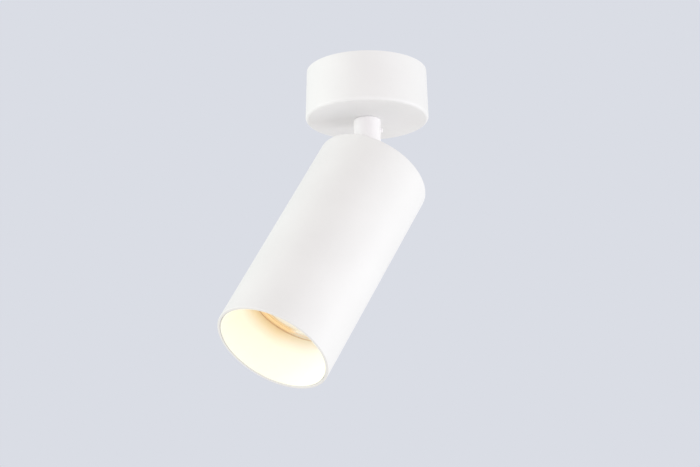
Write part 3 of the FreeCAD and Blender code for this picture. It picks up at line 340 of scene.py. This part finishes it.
def lit_reflector(name, low_z, high_z, lip_r, end_r):
    """Matt white moulding whose inner wall is lit: bright to the mouth, amber in the shade by the lamp."""
    finish = Finish(name, roughness=0.55)
    x, y, z = finish.split(finish.local(HEAD))[:3]
    depth = finish.range(z, low_z, high_z, 0.0, 1.0)
    taper = finish.math("MULTIPLY", depth, lip_r - end_r)
    from_wall = finish.math("ADD", finish.from_axis(x, y), taper)
    drift = finish.math("MULTIPLY", finish.math("SUBTRACT", finish.noise(60.0), 0.5), 0.03)
    depth = finish.math("ADD", depth, drift)
    side = daylight_side(finish, x, 0.3 * lip_r, lip_r)
    glow = finish.mix(side, finish.ramp(depth, *CONE_GLOW), finish.ramp(depth, *CONE_GLOW_BY_DAY))
    tint = finish.mix(side, finish.ramp(depth, *CONE_TINT), finish.ramp(depth, *CONE_TINT_BY_DAY))
    # Outside this mask the lip takes its painted shade and no glow; inside, the cone takes its painted light
    # and shade.
    inside = finish.range(from_wall, lip_r + 0.25 * MM, lip_r + 0.15 * MM, 0.0, 1.0)
    finish.colour(finish.mix(inside, LIP_SHADE_COLOUR, tint))
    finish.link(glow, finish.shader.inputs["Emission Color"])
    finish.link(inside, finish.shader.inputs["Emission Strength"])
    finish.gloss(finish.noise(700.0), 0.5, 0.6)
    finish.bump(finish.noise(2200.0), 0.01 * MM, 0.3)
    return finish.material


def lit_lens(name, pitch, radius):
    """Frosted lens with a honeycomb of small lenslets, lit from behind.

    Its middle is bright, its field cream and its rim amber, where the cone shades it.
    """
    finish = Finish(name, roughness=0.3)
    local = finish.local(HEAD)
    cells = finish.node("TexVoronoi", feature="F1")
    cells.inputs["Scale"].default_value = 1 / pitch
    cells.inputs["Randomness"].default_value = 0.25
    flat = finish.node("VectorMath", operation="MULTIPLY")
    flat.inputs[1].default_value = (1.0, 1.0, 0.0)
    finish.link(local, flat.inputs[0])
    finish.link(flat.outputs["Vector"], cells.inputs["Vector"])
    bulge = cells.outputs["Distance"]
    x, y = finish.split(local)[:2]
    side = daylight_side(finish, x, LENS_DAY_FROM * radius, LENS_DAY_FULL * radius)
    spread = finish.range(finish.from_axis(x, y), 0.0, radius, 0.0, 1.0)
    glow = finish.mix(side, finish.ramp(spread, *LENS_GLOW), finish.ramp(spread, *LENS_GLOW_BY_DAY))
    finish.link(glow, finish.shader.inputs["Emission Color"])
    finish.shader.inputs["Emission Strength"].default_value = 1.0
    finish.colour(finish.mix(side, finish.ramp(spread, *LENS_TINT), LENS_TINT[0][1]))
    finish.bump(bulge, -0.3 * MM, 0.6)
    return finish.material


def lit_housing(name, shade, light, front_z, lit_r):
    """Moulded lamp housing whose front face is lit, most at its outer edge close by the cone."""
    finish = Finish(name)
    x, y, z = finish.split(finish.local(HEAD))[:3]
    reach = finish.from_axis(x, y)
    lit_z = front_z + BEZEL_DEPTH
    front = finish.math("MULTIPLY", finish.range(z, lit_z + 0.1 * MM, lit_z, 0.0, 1.0),
                        finish.range(reach, lit_r, lit_r - 0.1 * MM, 0.0, 1.0))
    outer = finish.range(reach, lit_r - 1.6 * MM, lit_r - 0.7 * MM, 0.0, 1.0)
    side = daylight_side(finish, x, LENS_DAY_FROM * lit_r, LENS_DAY_FULL * lit_r)
    finish.colour(finish.mix(front, finish.ramp(finish.noise(150.0, 3.0), (0.3, shade), (0.7, light)),
                             LENS_TINT[-1][1]))
    glow = finish.mix(side, finish.mix(outer, *BEZEL_GLOW), finish.mix(outer, *BEZEL_GLOW_BY_DAY))
    finish.link(glow, finish.shader.inputs["Emission Color"])
    finish.link(front, finish.shader.inputs["Emission Strength"])
    finish.gloss(finish.noise(900.0), 0.34, 0.48)
    finish.bump(finish.noise(1600.0, 2.0), 0.02 * MM, 0.3)
    return finish.material


def lit_phosphor(name):
    """The yellow domes of the light sources, switched on."""
    finish = Finish(name, roughness=0.25)
    finish.colour(finish.ramp(finish.noise(2500.0), (0.3, (0.85, 0.58, 0.12)), (0.7, (0.95, 0.72, 0.25))))
    finish.shader.inputs["Emission Color"].default_value = (1.0, 0.82, 0.5, 1.0)
    finish.shader.inputs["Emission Strength"].default_value = 2.0
    return finish.material


# ---------------------------------------------------------------- making and finishing a piece


def new_piece(bm, name, replaced, place=CANOPY, finish=None, crease=32.0, weighted=False):
    """Puts a mesh in its place, lets it stand for its CAD nodes and ride on their body."""
    bmesh.ops.remove_doubles(bm, verts=bm.verts, dist=MERGE)
    bmesh.ops.dissolve_degenerate(bm, edges=bm.edges, dist=SLIVER)
    bmesh.ops.recalc_face_normals(bm, faces=bm.faces)
    bm.transform(place)
    for face in bm.faces:
        face.smooth = True
    for edge in bm.edges:
        edge.smooth = weighted or edge.calc_face_angle(0.0) < radians(crease)
    mesh = bpy.data.meshes.new(name)
    bm.to_mesh(mesh)
    bm.free()
    if "custom_normal" in mesh.attributes:
        mesh.attributes.remove(mesh.attributes["custom_normal"])
    piece = bpy.data.objects.new(name, mesh)
    bpy.context.scene.collection.objects.link(piece)
    slot = slot_of[replaced[0]]
    mesh.materials.append(finish or finishes[slot])
    if weighted:
        piece.modifiers.new("even_faces", "WEIGHTED_NORMAL").weight = 90
    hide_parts(*replaced)
    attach(piece, body_of_node[replaced[0]])


def ring_around(points, count):
    """Repeats a list of corners at equal turns about Z."""
    turned = []
    for k in range(count):
        c, s = cos(2 * pi * k / count), sin(2 * pi * k / count)
        turned += [(x * c - y * s, x * s + y * c) for x, y in points]
    return turned


def spin_outline(bm, outline, steps, closed=False):
    """Turns an outline of (radius, height) points about Z."""
    verts = [bm.verts.new((radius, 0.0, height)) for radius, height in outline]
    pairs = list(zip(verts, verts[1:]))
    if closed:
        pairs.append((verts[-1], verts[0]))
    edges = [bm.edges.new(pair) for pair in pairs]
    bmesh.ops.spin(bm, geom=verts + edges, cent=(0, 0, 0), axis=(0, 0, 1),
                   angle=2 * pi, steps=steps, use_merge=True, use_duplicate=False)
    bmesh.ops.remove_doubles(bm, verts=bm.verts, dist=MERGE)


ARC_STEPS = 5


def arc_corner(corner, radius, start):
    """A quarter circle that rounds a corner of an outline, from an angle of the outline's plane."""
    middle = start + pi / 4
    centre = Vector(corner) - radius * Vector((copysign(1, cos(middle)), copysign(1, sin(middle))))
    angles = [start + pi / 2 * k / ARC_STEPS for k in range(ARC_STEPS + 1)]
    return [tuple(centre + radius * Vector((cos(angle), sin(angle)))) for angle in angles]


def rounded(corner_list, radius, steps):
    """An outline with each of its corners rounded by a few points on an arc."""
    count = len(corner_list)
    out = []
    for i, corner in enumerate(corner_list):
        before = Vector(corner_list[i - 1])
        here = Vector(corner)
        after = Vector(corner_list[(i + 1) % count])
        back, ahead = (before - here), (after - here)
        reach = min(radius, 0.45 * back.length, 0.45 * ahead.length)
        start, end = here + back.normalized() * reach, here + ahead.normalized() * reach
        for k in range(steps + 1):
            t = k / steps
            out.append(tuple(start * (1 - t) ** 2 + here * 2 * t * (1 - t) + end * t ** 2))
    return out


FLAT = radians(0.4)
SHARP = radians(40.0)


def softened(node, width, finish=None):
    """A CAD node again with its sharp edges rounded over."""
    bm = welded_copy(node)
    bmesh.ops.dissolve_limit(bm, angle_limit=FLAT, verts=bm.verts, edges=bm.edges)
    sharp = [edge for edge in bm.edges if edge.is_manifold and edge.calc_face_angle(0.0) > SHARP]
    bmesh.ops.bevel(bm, geom=sharp, offset=width, offset_type="OFFSET", affect="EDGES",
                    segments=2, profile=0.5, clamp_overlap=True, material=-1)
    new_piece(bm, node + "_finished", [node], finish=finish, weighted=True)


def thread(radius, low, high, pitch, depth):
    """The outline of a screw thread as rings, from its low to its high end."""
    turns = max(2, int((high - low) / pitch))
    step = (high - low) / turns
    points = [(radius - depth, low)]
    for k in range(turns):
        points += [(radius, low + step * (k + 0.4)), (radius, low + step * (k + 0.6)),
                   (radius - depth, low + step * (k + 1))]
    return points


RECESS_SIDES = 48
RECESS_ARM = 0.22
RECESS_TAPER = 0.8
RECESS_REACH = 0.62
RECESS_RIM = 1.12
THREAD_DEPTH = 0.14


def recess_corners(kind, reach):
    """The corners of a driver recess: hexagon, slot or cross."""
    if kind == "hex":
        return ring_around([(reach, 0.0)], 6)
    arm = reach * RECESS_ARM
    if kind == "slot":
        return [(reach, -arm), (reach, arm), (-reach, arm), (-reach, -arm)]
    return ring_around([(reach, -arm), (reach, arm), (arm, arm)], 4)


def sink_recess(bm, rim_r, top, kind, reach, depth):
    """Closes the top of a screw head round a driver recess."""
    corner_list = recess_corners(kind, reach)
    verts = [bm.verts.new((x, y, top)) for x, y in corner_list]
    edges = [bm.edges.new(pair) for pair in zip(verts, verts[1:] + verts[:1])]
    bmesh.ops.subdivide_edges(bm, edges=edges, cuts=RECESS_SIDES // len(edges) - 1)
    loop = [edge for edge in bm.edges if edge.is_wire]
    rim = [edge for edge in bm.edges if edge.is_boundary
           and all(abs(vertex.co.xy.length - rim_r) < 0.01 * MM for vertex in edge.verts)]
    bmesh.ops.bridge_loops(bm, edges=loop + rim)
    loop = [edge for edge in bm.edges if edge.is_boundary]
    made = bmesh.ops.extrude_edge_only(bm, edges=loop)["geom"]
    floor_verts = [item for item in made if isinstance(item, bmesh.types.BMVert)]
    for vertex in floor_verts:
        vertex.co.xy *= RECESS_TAPER
        vertex.co.z = top - depth
    floor_edges = [item for item in made if isinstance(item, bmesh.types.BMEdge) and item.is_boundary]
    bmesh.ops.contextual_create(bm, geom=floor_edges)


def screw_mesh(style, shank_r, head_r, head_height, low, high, kind, pitch):
    """A screw along Z with its head at the top: pan, countersunk or headless."""
    bm = bmesh.new()
    headless = style == "grub"
    reach = RECESS_REACH * (shank_r if headless else head_r)
    rim_r = reach * RECESS_RIM
    neck = high - (0.25 * MM if headless else head_height)
    outline = [(0.0, low), (shank_r * 0.7, low)]
    outline += thread(shank_r, low + 0.3 * shank_r, neck, pitch, THREAD_DEPTH * shank_r)
    if style == "pan":
        dome = [(head_r * cos(a), neck + head_height * (0.45 + 0.55 * sin(a)))
                for a in (0.0, 0.35, 0.65, 0.9)]
        outline += [(shank_r, neck), (head_r * 0.97, neck)] + dome
    elif style == "countersunk":
        outline += [(shank_r, neck), (head_r - 0.05 * MM, high - 0.12 * MM), (head_r, high - 0.06 * MM),
                    (head_r - 0.08 * MM, high)]
    outline.append((rim_r, high))
    spin_outline(bm, outline, steps=RECESS_SIDES)
    sink_recess(bm, rim_r, high, kind, reach, min(0.5 * head_height, 0.9 * MM) + 0.3 * MM)
    return bm


def new_screws(node, style, sides, shank_r, head_height, kind, pitch=0.5 * MM):
    """Every screw of a CAD node, each along the side that its head points to."""
    whole = bmesh.new()
    for points, side in zip(islands(node), sides):
        place = side.to_track_quat("Z", "Y").to_matrix().to_4x4()
        low, high = span(points, place)
        middle = (low + high) / 2
        head_r = (high.x - low.x) / 2
        bm = screw_mesh(style, shank_r, head_r, head_height, low.z, high.z, kind, pitch)
        bm.transform(place @ Matrix.Translation((middle.x, middle.y, 0)))
        loose = bpy.data.meshes.new("one_screw")
        bm.to_mesh(loose)
        bm.free()
        whole.from_mesh(loose)
        bpy.data.meshes.remove(loose)
    new_piece(whole, node + "_finished", [node], crease=38.0)


# ---------------------------------------------------------------- finishes of this lamp

REFLECTOR_LOW, REFLECTOR_HIGH = span(corners_of("reflector"), HEAD)
LENS_LOW, LENS_HIGH = span(corners_of("lamp_lens"), HEAD)
REFLECTOR_R = REFLECTOR_HIGH.x
REFLECTOR_LIP = 0.4 * MM
APERTURE_R = min(reaches(corners_of("reflector"), HEAD))
MOUTH_Z = span(corners_of("head_shell"), HEAD)[0].z

# The stem's white is the canopy's paint made lighter: painted light that lifts the shade between canopy and
# head.
stem_lightened_white = powder_coat("stem_white_painted_lighter", (0.96, 0.94, 0.945), (0.975, 0.955, 0.96))
# The head's coat, with painted shade and warm lamplight on its mouth's rim.
head_white = powder_coat("head_powder_coat", (0.875, 0.87, 0.868), (0.895, 0.89, 0.888),
                         RIM_SHADE_AND_LAMPLIGHT, MOUTH_Z)
# The set screw's stud is the same white made lighter: painted light, as if lit from the left and front.
stud_lightened_white = powder_coat("stud_white_painted_lighter", (0.965, 0.95, 0.955), (0.98, 0.965, 0.97))

finishes = {
    "white_paint": powder_coat("white_powder_coat", (0.875, 0.87, 0.87), (0.895, 0.89, 0.89)),
    "zinc_steel": plated_steel("bright_zinc", (0.52, 0.54, 0.57), (0.70, 0.71, 0.72)),
    "spring_steel": plated_steel("blued_spring", (0.30, 0.31, 0.34), (0.45, 0.46, 0.50), 0.28),
    "brass": plated_steel("turned_brass", (0.58, 0.40, 0.16), (0.76, 0.56, 0.26), 0.26),
    "block_plastic": moulding("natural_nylon", (0.74, 0.72, 0.64), (0.80, 0.78, 0.71), 0.42),
    "live_insulation": moulding("brown_insulation", (0.11, 0.045, 0.02), (0.16, 0.07, 0.03), 0.4, 2400.0),
    "neutral_insulation": moulding("blue_insulation", (0.01, 0.06, 0.30), (0.02, 0.09, 0.40), 0.4, 2400.0),
    "earth_insulation": striped_insulation(
        "earth_insulation", (1100.0, 700.0, 1400.0), (0.05, 0.26, 0.03), (0.72, 0.55, 0.02)),
    "ceramic": speckled_ceramic("steatite", (0.66, 0.60, 0.52), (0.80, 0.77, 0.70)),
    "lamp_housing": lit_housing("lamp_housing", (0.80, 0.80, 0.78), (0.86, 0.86, 0.84),
                                span(corners_of("lamp_body"), HEAD)[0].z, LENS_HIGH.x + BEZEL_WIDTH),
    "lamp_lens": lit_lens("frosted_lens", 2.4 * MM, LENS_HIGH.x),
    "light_source": lit_phosphor("phosphor"),
    "reflector_white": lit_reflector("lit_reflector", REFLECTOR_LOW.z, REFLECTOR_HIGH.z,
                                     REFLECTOR_R - REFLECTOR_LIP, APERTURE_R),
}

# The CAD's own pieces take the finish of their slot too.
for node, carried in nodes.items():
    for slot in carried.material_slots:
        slot.material = finishes[slot_of[node]]

# ---------------------------------------------------------------- canopy and what it holds


def make_canopy_fittings():
    """The bracket, terminals, bush and screws of the canopy, with soft edges and real threads."""
    right, left = Vector((1, 0, 0)), Vector((-1, 0, 0))
    down = -UP
    softened("mounting_bracket", 0.18 * MM)
    softened("terminal_block", 0.3 * MM)
    softened("terminal_inserts", 0.08 * MM)
    softened("stem_earth_terminal", 0.08 * MM)
    softened("link_earth_terminal", 0.08 * MM)
    softened("pan_bush", 0.12 * MM)
    new_screws("canopy_screws", "countersunk", (left, right), 1.5 * MM, 1.25 * MM, "cross")
    new_screws("terminal_screws", "grub", [down] * 6, 1.1 * MM, 1.0 * MM, "slot", 0.4 * MM)
    new_screws("terminal_fixing_screw", "pan", [down], 1.25 * MM, 1.2 * MM, "cross")
    new_screws("bracket_earth_screw", "pan", [down], 1.5 * MM, 1.8 * MM, "cross")


# ---------------------------------------------------------------- stem and pan bearing


def make_nipple():
    """The threaded tube that carries the stem through the canopy's floor."""
    points = corners_of("stem_nipple")
    low, high = span(points, STEM)
    bore_r = min(reaches(points, STEM))
    bm = bmesh.new()
    outline = thread(high.x, low.z + 0.4 * MM, high.z - 0.4 * MM, 1.0 * MM, 0.45 * MM)
    outline += [(high.x - 0.7 * MM, high.z), (bore_r, high.z), (bore_r, low.z), (high.x - 0.7 * MM, low.z)]
    spin_outline(bm, outline, steps=64, closed=True)
    new_piece(bm, "stem_nipple_finished", ["stem_nipple"], STEM)


def make_set_screw():
    """The painted screw through the stem: threaded in its wall, plain and domed where it stands out."""
    low, high = span(corners_of("stem_set_screw"), CANOPY)
    radius = (high.z - low.z) / 2
    threaded = high.x - 1.3 * MM
    dome = 0.28 * radius
    place = Matrix.Translation((0, 0, (low.z + high.z) / 2)) @ Matrix.Rotation(radians(90), 4, "Y")
    outline = [(0.0, low.x), (0.75 * radius, low.x)]
    outline += thread(0.97 * radius, low.x + 0.15 * MM, threaded, 0.3 * MM, 0.12 * radius)
    outline += [(radius, threaded + 0.1 * MM)]
    outline += [(radius - dome * (1 - cos(a)), high.x - dome * (1 - sin(a))) for a in (0.0, 0.4, 0.8, 1.2)]
    rim_r = radius - dome
    outline.append((rim_r, high.x))
    bm = bmesh.new()
    spin_outline(bm, outline, steps=RECESS_SIDES)
    sink_recess(bm, rim_r, high.x, "hex", 0.55 * radius, 0.8 * MM)
    # The stud's lighter white is painted light.
    new_piece(bm, "stem_set_screw_finished", ["stem_set_screw"], place, finish=stud_lightened_white, crease=38.0)


def make_stem_fittings():
    """The stem, what turns with it in the canopy, and the two pivot screws in its sides."""
    lean_y = UP.cross(LEAN)
    make_nipple()
    softened("stem", 0.15 * MM, finish=stem_lightened_white)
    softened("pan_stop_washer", 0.1 * MM)
    softened("pan_spring_washer", 0.15 * MM)
    softened("pan_lock_nut", 0.35 * MM)
    pivot_sides = [lean_y if (STEM.inverted() @ points[0]).y > 0 else -lean_y
                   for points in islands("pivot_screws")]
    new_screws("pivot_screws", "pan", pivot_sides, 2.0 * MM, 1.9 * MM, "hex")
    make_set_screw()


# ---------------------------------------------------------------- head


def make_head_tube():
    """The long tube, with its rounded upper rim and the soft edges of its mouth."""
    points = corners_of("head_shell")
    low, high = span(points, HEAD)
    radius = high.x
    bore_r = min(reaches(points, HEAD))
    outline = arc_corner((radius, low.z), 0.4 * MM, pi * 1.5)
    outline += arc_corner((radius, high.z), 0.7 * MM, 0.0)
    outline += arc_corner((bore_r, high.z), 0.15 * MM, pi * 0.5)
    outline += arc_corner((bore_r, low.z), 0.15 * MM, pi)
    bm = bmesh.new()
    spin_outline(bm, outline, steps=192, closed=True)
    new_piece(bm, "head_tube", ["head_shell"], HEAD, finish=head_white, weighted=True)


def make_head_fittings():
    """The head's tube and cap, its hinge bracket, the lampholder and their screws."""
    head_up = -BEAM
    make_head_tube()
    softened("top_cap", 0.15 * MM)
    softened("hinge_bracket", 0.18 * MM)
    softened("cap_spacers", 0.12 * MM)
    softened("pivot_washers", 0.08 * MM)
    softened("head_earth_terminal", 0.08 * MM)
    softened("lampholder", 0.35 * MM)
    softened("lampholder_contacts", 0.1 * MM)
    new_screws("cap_screws", "pan", [head_up] * 2, 1.5 * MM, 0.9 * MM, "cross")
    new_screws("head_earth_screw", "pan", [head_up], 1.5 * MM, 1.8 * MM, "cross")
    new_screws("lampholder_screws", "pan", [BEAM] * 2, 1.5 * MM, 1.8 * MM, "cross")


def make_reflector():
    """The cone in the mouth, with a rolled lip and a small step by the lamp."""
    top_points = [point for point in corners_of("reflector")
                  if (HEAD.inverted() @ point).z > REFLECTOR_HIGH.z - 0.1 * MM]
    top_r = max(reaches(top_points, HEAD))
    band_z = REFLECTOR_LOW.z + 3.0 * MM
    step = 0.25 * MM
    outline = rounded([
        (REFLECTOR_R - REFLECTOR_LIP, REFLECTOR_LOW.z), (REFLECTOR_R, REFLECTOR_LOW.z), (REFLECTOR_R, band_z),
        (top_r, REFLECTOR_HIGH.z), (APERTURE_R, REFLECTOR_HIGH.z), (APERTURE_R, REFLECTOR_HIGH.z - step),
        (APERTURE_R + 0.5 * step, REFLECTOR_HIGH.z - step),
    ], 0.12 * MM, 3)
    bm = bmesh.new()
    spin_outline(bm, outline, steps=192, closed=True)
    new_piece(bm, "reflector_cone", ["reflector"], HEAD, crease=40.0)
    softened("reflector_springs", 0.06 * MM)


# ---------------------------------------------------------------- lamp


def make_lens():
    """The front lens: a clear rim, a groove and a field of shallow rings."""
    radius = LENS_HIGH.x
    front, back = LENS_LOW.z, LENS_HIGH.z
    field_r = radius - 1.6 * MM
    rings = 14
    outline = [(0.0, back), (radius - 0.2 * MM, back), (radius, back - 0.2 * MM),
               (radius, front + 0.25 * MM), (radius - 0.25 * MM, front),
               (field_r + 0.5 * MM, front), (field_r + 0.2 * MM, front + 0.45 * MM)]
    for k in range(rings):
        outer, inner = field_r * (1 - k / rings), field_r * (1 - (k + 1) / rings)
        outline += [(outer, front + 0.35 * MM), ((outer + inner) / 2, front + 0.12 * MM)]
    outline.append((0.0, front + 0.3 * MM))
    bm = bmesh.new()
    spin_outline(bm, outline, steps=144)
    new_piece(bm, "lamp_lens_finished", ["lamp_lens"], HEAD, crease=50.0)


def make_chips():
    """Each light source: a flat carrier under a low dome of phosphor."""
    bm = bmesh.new()
    for points in islands("lamp_leds"):
        low, high = span(points, HEAD)
        middle = (low + high) / 2
        size = high - low
        lower = high.z - 0.45 * size.z
        made = bmesh.ops.create_cube(bm, size=1.0, matrix=Matrix.Translation(
            (middle.x, middle.y, (lower + high.z) / 2)) @ Matrix.Diagonal(
            (min(size.x, size.y), min(size.x, size.y), high.z - lower, 1.0)))
        edges = {edge for vertex in made["verts"] for edge in vertex.link_edges}
        bmesh.ops.bevel(bm, geom=list(edges), offset=0.08 * MM, offset_type="OFFSET", affect="EDGES",
                        segments=2, profile=0.5, clamp_overlap=True, material=-1)
        bmesh.ops.create_uvsphere(bm, u_segments=24, v_segments=12, radius=1.0, matrix=Matrix.Translation(
            (middle.x, middle.y, lower)) @ Matrix.Diagonal((1.2 * MM, 1.2 * MM, lower - low.z, 1.0)))
    new_piece(bm, "lamp_leds_finished", ["lamp_leds"], HEAD)


HOUSING_SIDES = 96
GROOVES = 24
SIDES_PER_GROOVE = HOUSING_SIDES // GROOVES
GROOVE_WIDTH = 2


def groove_of(face, base, flare):
    """The cooling groove that a face of the flare belongs to, or None."""
    middle = face.calc_center_median()
    base_r, base_z = base
    flare_r, flare_z = flare
    if not base_z > middle.z > flare_z:
        return None
    outer_r = base_r + (base_z - middle.z) / (base_z - flare_z) * (flare_r - base_r)
    side = int((atan2(middle.y, middle.x) + pi) / (2 * pi) * HOUSING_SIDES) % HOUSING_SIDES
    if middle.xy.length < outer_r - 0.3 * MM or side % SIDES_PER_GROOVE >= GROOVE_WIDTH:
        return None
    return side // SIDES_PER_GROOVE


def make_lamp_housing():
    """The lamp's body: base, flare with cooling grooves, and a bezel round the lens."""
    points = corners_of("lamp_body")
    low, high = span(points, HEAD)
    front, top = low.z, high.z
    wall = 1.2 * MM
    base_r, base_z = 12.5 * MM, top - 9.0 * MM
    flare_r, flare_z = 20.5 * MM, top - 26.0 * MM
    front_r, bezel_z = max(reaches(points, HEAD)), front + 7.0 * MM
    seat_r, seat_z = LENS_HIGH.x + 0.05 * MM, LENS_HIGH.z
    outline = arc_corner((base_r, top), 0.8 * MM, 0.0)[::-1] + [
        (base_r, base_z), (flare_r, flare_z), (front_r - 0.3 * MM, bezel_z + 0.3 * MM), (front_r, bezel_z),
    ] + arc_corner((front_r, front), 0.5 * MM, pi * 1.5)[::-1] + [
        (seat_r + 0.1 * MM, front), (seat_r, front + 0.1 * MM), (seat_r, seat_z), (seat_r - wall, seat_z),
        (flare_r - wall, flare_z), (base_r - wall, base_z), (base_r - wall, top - wall), (0.0, top - wall),
    ]
    bm = bmesh.new()
    spin_outline(bm, [(0.0, top)] + outline, steps=HOUSING_SIDES)
    grooves = [[] for _ in range(GROOVES)]
    for face in bm.faces:
        groove = groove_of(face, (base_r, base_z), (flare_r, flare_z))
        if groove is not None:
            grooves[groove].append(face)
    bmesh.ops.recalc_face_normals(bm, faces=bm.faces)
    for faces in grooves:
        bmesh.ops.inset_region(bm, faces=faces, thickness=0.3 * MM, depth=-0.6 * MM, use_even_offset=True)
    new_piece(bm, "lamp_body_finished", ["lamp_body"], HEAD, crease=35.0)


make_canopy_fittings()
make_stem_fittings()
make_head_fittings()
make_reflector()
make_lens()
make_chips()
make_lamp_housing()
softened("lamp_led_board", 0.1 * MM)

# ---------------------------------------------------------------- floor, light and camera

BACKDROP = (0.701, 0.723, 0.784)
BOUNCE = (0.99, 0.98, 0.99)
FLOOR_Z = -1.5
FLOOR_SIZE = 60.0
FLOOR_DIM = 0.95
AMBIENT = (1.0, 0.98, 0.95)
AMBIENT_STRENGTH = 0.807
LIT_POINT = Vector((-0.02, -0.015, -0.08))
CAMERA_PLACE = (-0.00894, -0.95535, -0.36762)
CAMERA_PITCH = 90 + 16.624
CAMERA_ROLL = -0.614
FOCAL_LENGTH = 107.03


def seen_ray(tree):
    """1 for the rays of the camera, of gloss and of glass, else 0."""
    path = tree.nodes.new("ShaderNodeLightPath")
    total = path.outputs["Is Camera Ray"]
    for name in ("Is Glossy Ray", "Is Transmission Ray"):
        add = tree.nodes.new("ShaderNodeMath")
        add.operation = "ADD"
        add.use_clamp = True
        tree.links.new(total, add.inputs[0])
        tree.links.new(path.outputs[name], add.inputs[1])
        total = add.outputs[0]
    return total


def make_world():
    """An even light all round, with the backdrop's colour for the rays that see it."""
    world = bpy.data.worlds.new("studio")
    bpy.context.scene.world = world
    world.use_nodes = True
    tree = world.node_tree
    tree.nodes.clear()
    lit = tree.nodes.new("ShaderNodeBackground")
    lit.inputs["Color"].default_value = (*AMBIENT, 1.0)
    lit.inputs["Strength"].default_value = AMBIENT_STRENGTH
    seen = tree.nodes.new("ShaderNodeBackground")
    seen.inputs["Color"].default_value = (*BACKDROP, 1.0)
    seen.inputs["Strength"].default_value = 1.0
    mixed = tree.nodes.new("ShaderNodeMixShader")
    tree.links.new(seen_ray(tree), mixed.inputs["Fac"])
    tree.links.new(lit.outputs[0], mixed.inputs[1])
    tree.links.new(seen.outputs[0], mixed.inputs[2])
    output = tree.nodes.new("ShaderNodeOutputWorld")
    tree.links.new(mixed.outputs[0], output.inputs["Surface"])


def make_floor():
    """A wide floor well below the lamp, in the backdrop's colour, which takes its shadow."""
    bm = bmesh.new()
    bmesh.ops.create_grid(bm, x_segments=1, y_segments=1, size=FLOOR_SIZE / 2,
                          matrix=Matrix.Translation((0, 0, FLOOR_Z)))
    mesh = bpy.data.meshes.new("floor")
    bm.to_mesh(mesh)
    bm.free()
    floor = bpy.data.objects.new("floor", mesh)
    bpy.context.scene.collection.objects.link(floor)
    finish = Finish("floor_paint", roughness=0.9)
    shade = tuple(value / AMBIENT_STRENGTH * FLOOR_DIM for value in BACKDROP)
    light = tuple(min(1.0, value * 1.02) for value in shade)
    finish.colour(finish.mix(seen_ray(finish.tree), BOUNCE,
                             finish.ramp(finish.noise(3.0), (0.3, shade), (0.7, light))))
    finish.shader.inputs["Specular IOR Level"].default_value = 0.1
    mesh.materials.append(finish.material)


def soft_light(name, place, size, power, colour):
    """A round soft lamp that points at the middle of the object."""
    lamp = bpy.data.lights.new(name, "AREA")
    lamp.shape = "DISK"
    lamp.size = size
    lamp.energy = power
    lamp.color = colour
    holder = bpy.data.objects.new(name, lamp)
    holder.location = place
    holder.rotation_euler = (LIT_POINT - Vector(place)).to_track_quat("-Z", "Y").to_euler()
    bpy.context.scene.collection.objects.link(holder)


def make_lights():
    """Daylight from the right and the left, and a weak light from the front."""
    soft_light("right_light", (1.25, -0.12, -0.42), 0.8, 5.6, (0.88, 0.94, 1.0))
    soft_light("left_light", (-1.25, -0.12, -0.1), 0.7, 4.2, (0.86, 0.99, 0.92))
    soft_light("front_fill", (-0.25, -1.1, -0.2), 0.5, 1.4, (0.90, 0.86, 1.0))


def make_camera():
    """The view of the photo, from a little below, fitted to the object's outline."""
    lens = bpy.data.cameras.new("camera")
    lens.sensor_width = 36.0
    lens.lens = FOCAL_LENGTH
    lens.clip_start = 0.01
    camera = bpy.data.objects.new("camera", lens)
    pitch = Matrix.Rotation(radians(CAMERA_PITCH), 4, "X")
    roll = Matrix.Rotation(radians(CAMERA_ROLL), 4, "Z")
    camera.matrix_world = Matrix.Translation(CAMERA_PLACE) @ pitch @ roll
    bpy.context.scene.collection.objects.link(camera)
    bpy.context.scene.camera = camera


make_world()
make_floor()
make_lights()
make_camera()
bpy.context.scene.view_settings.view_transform = "Standard"
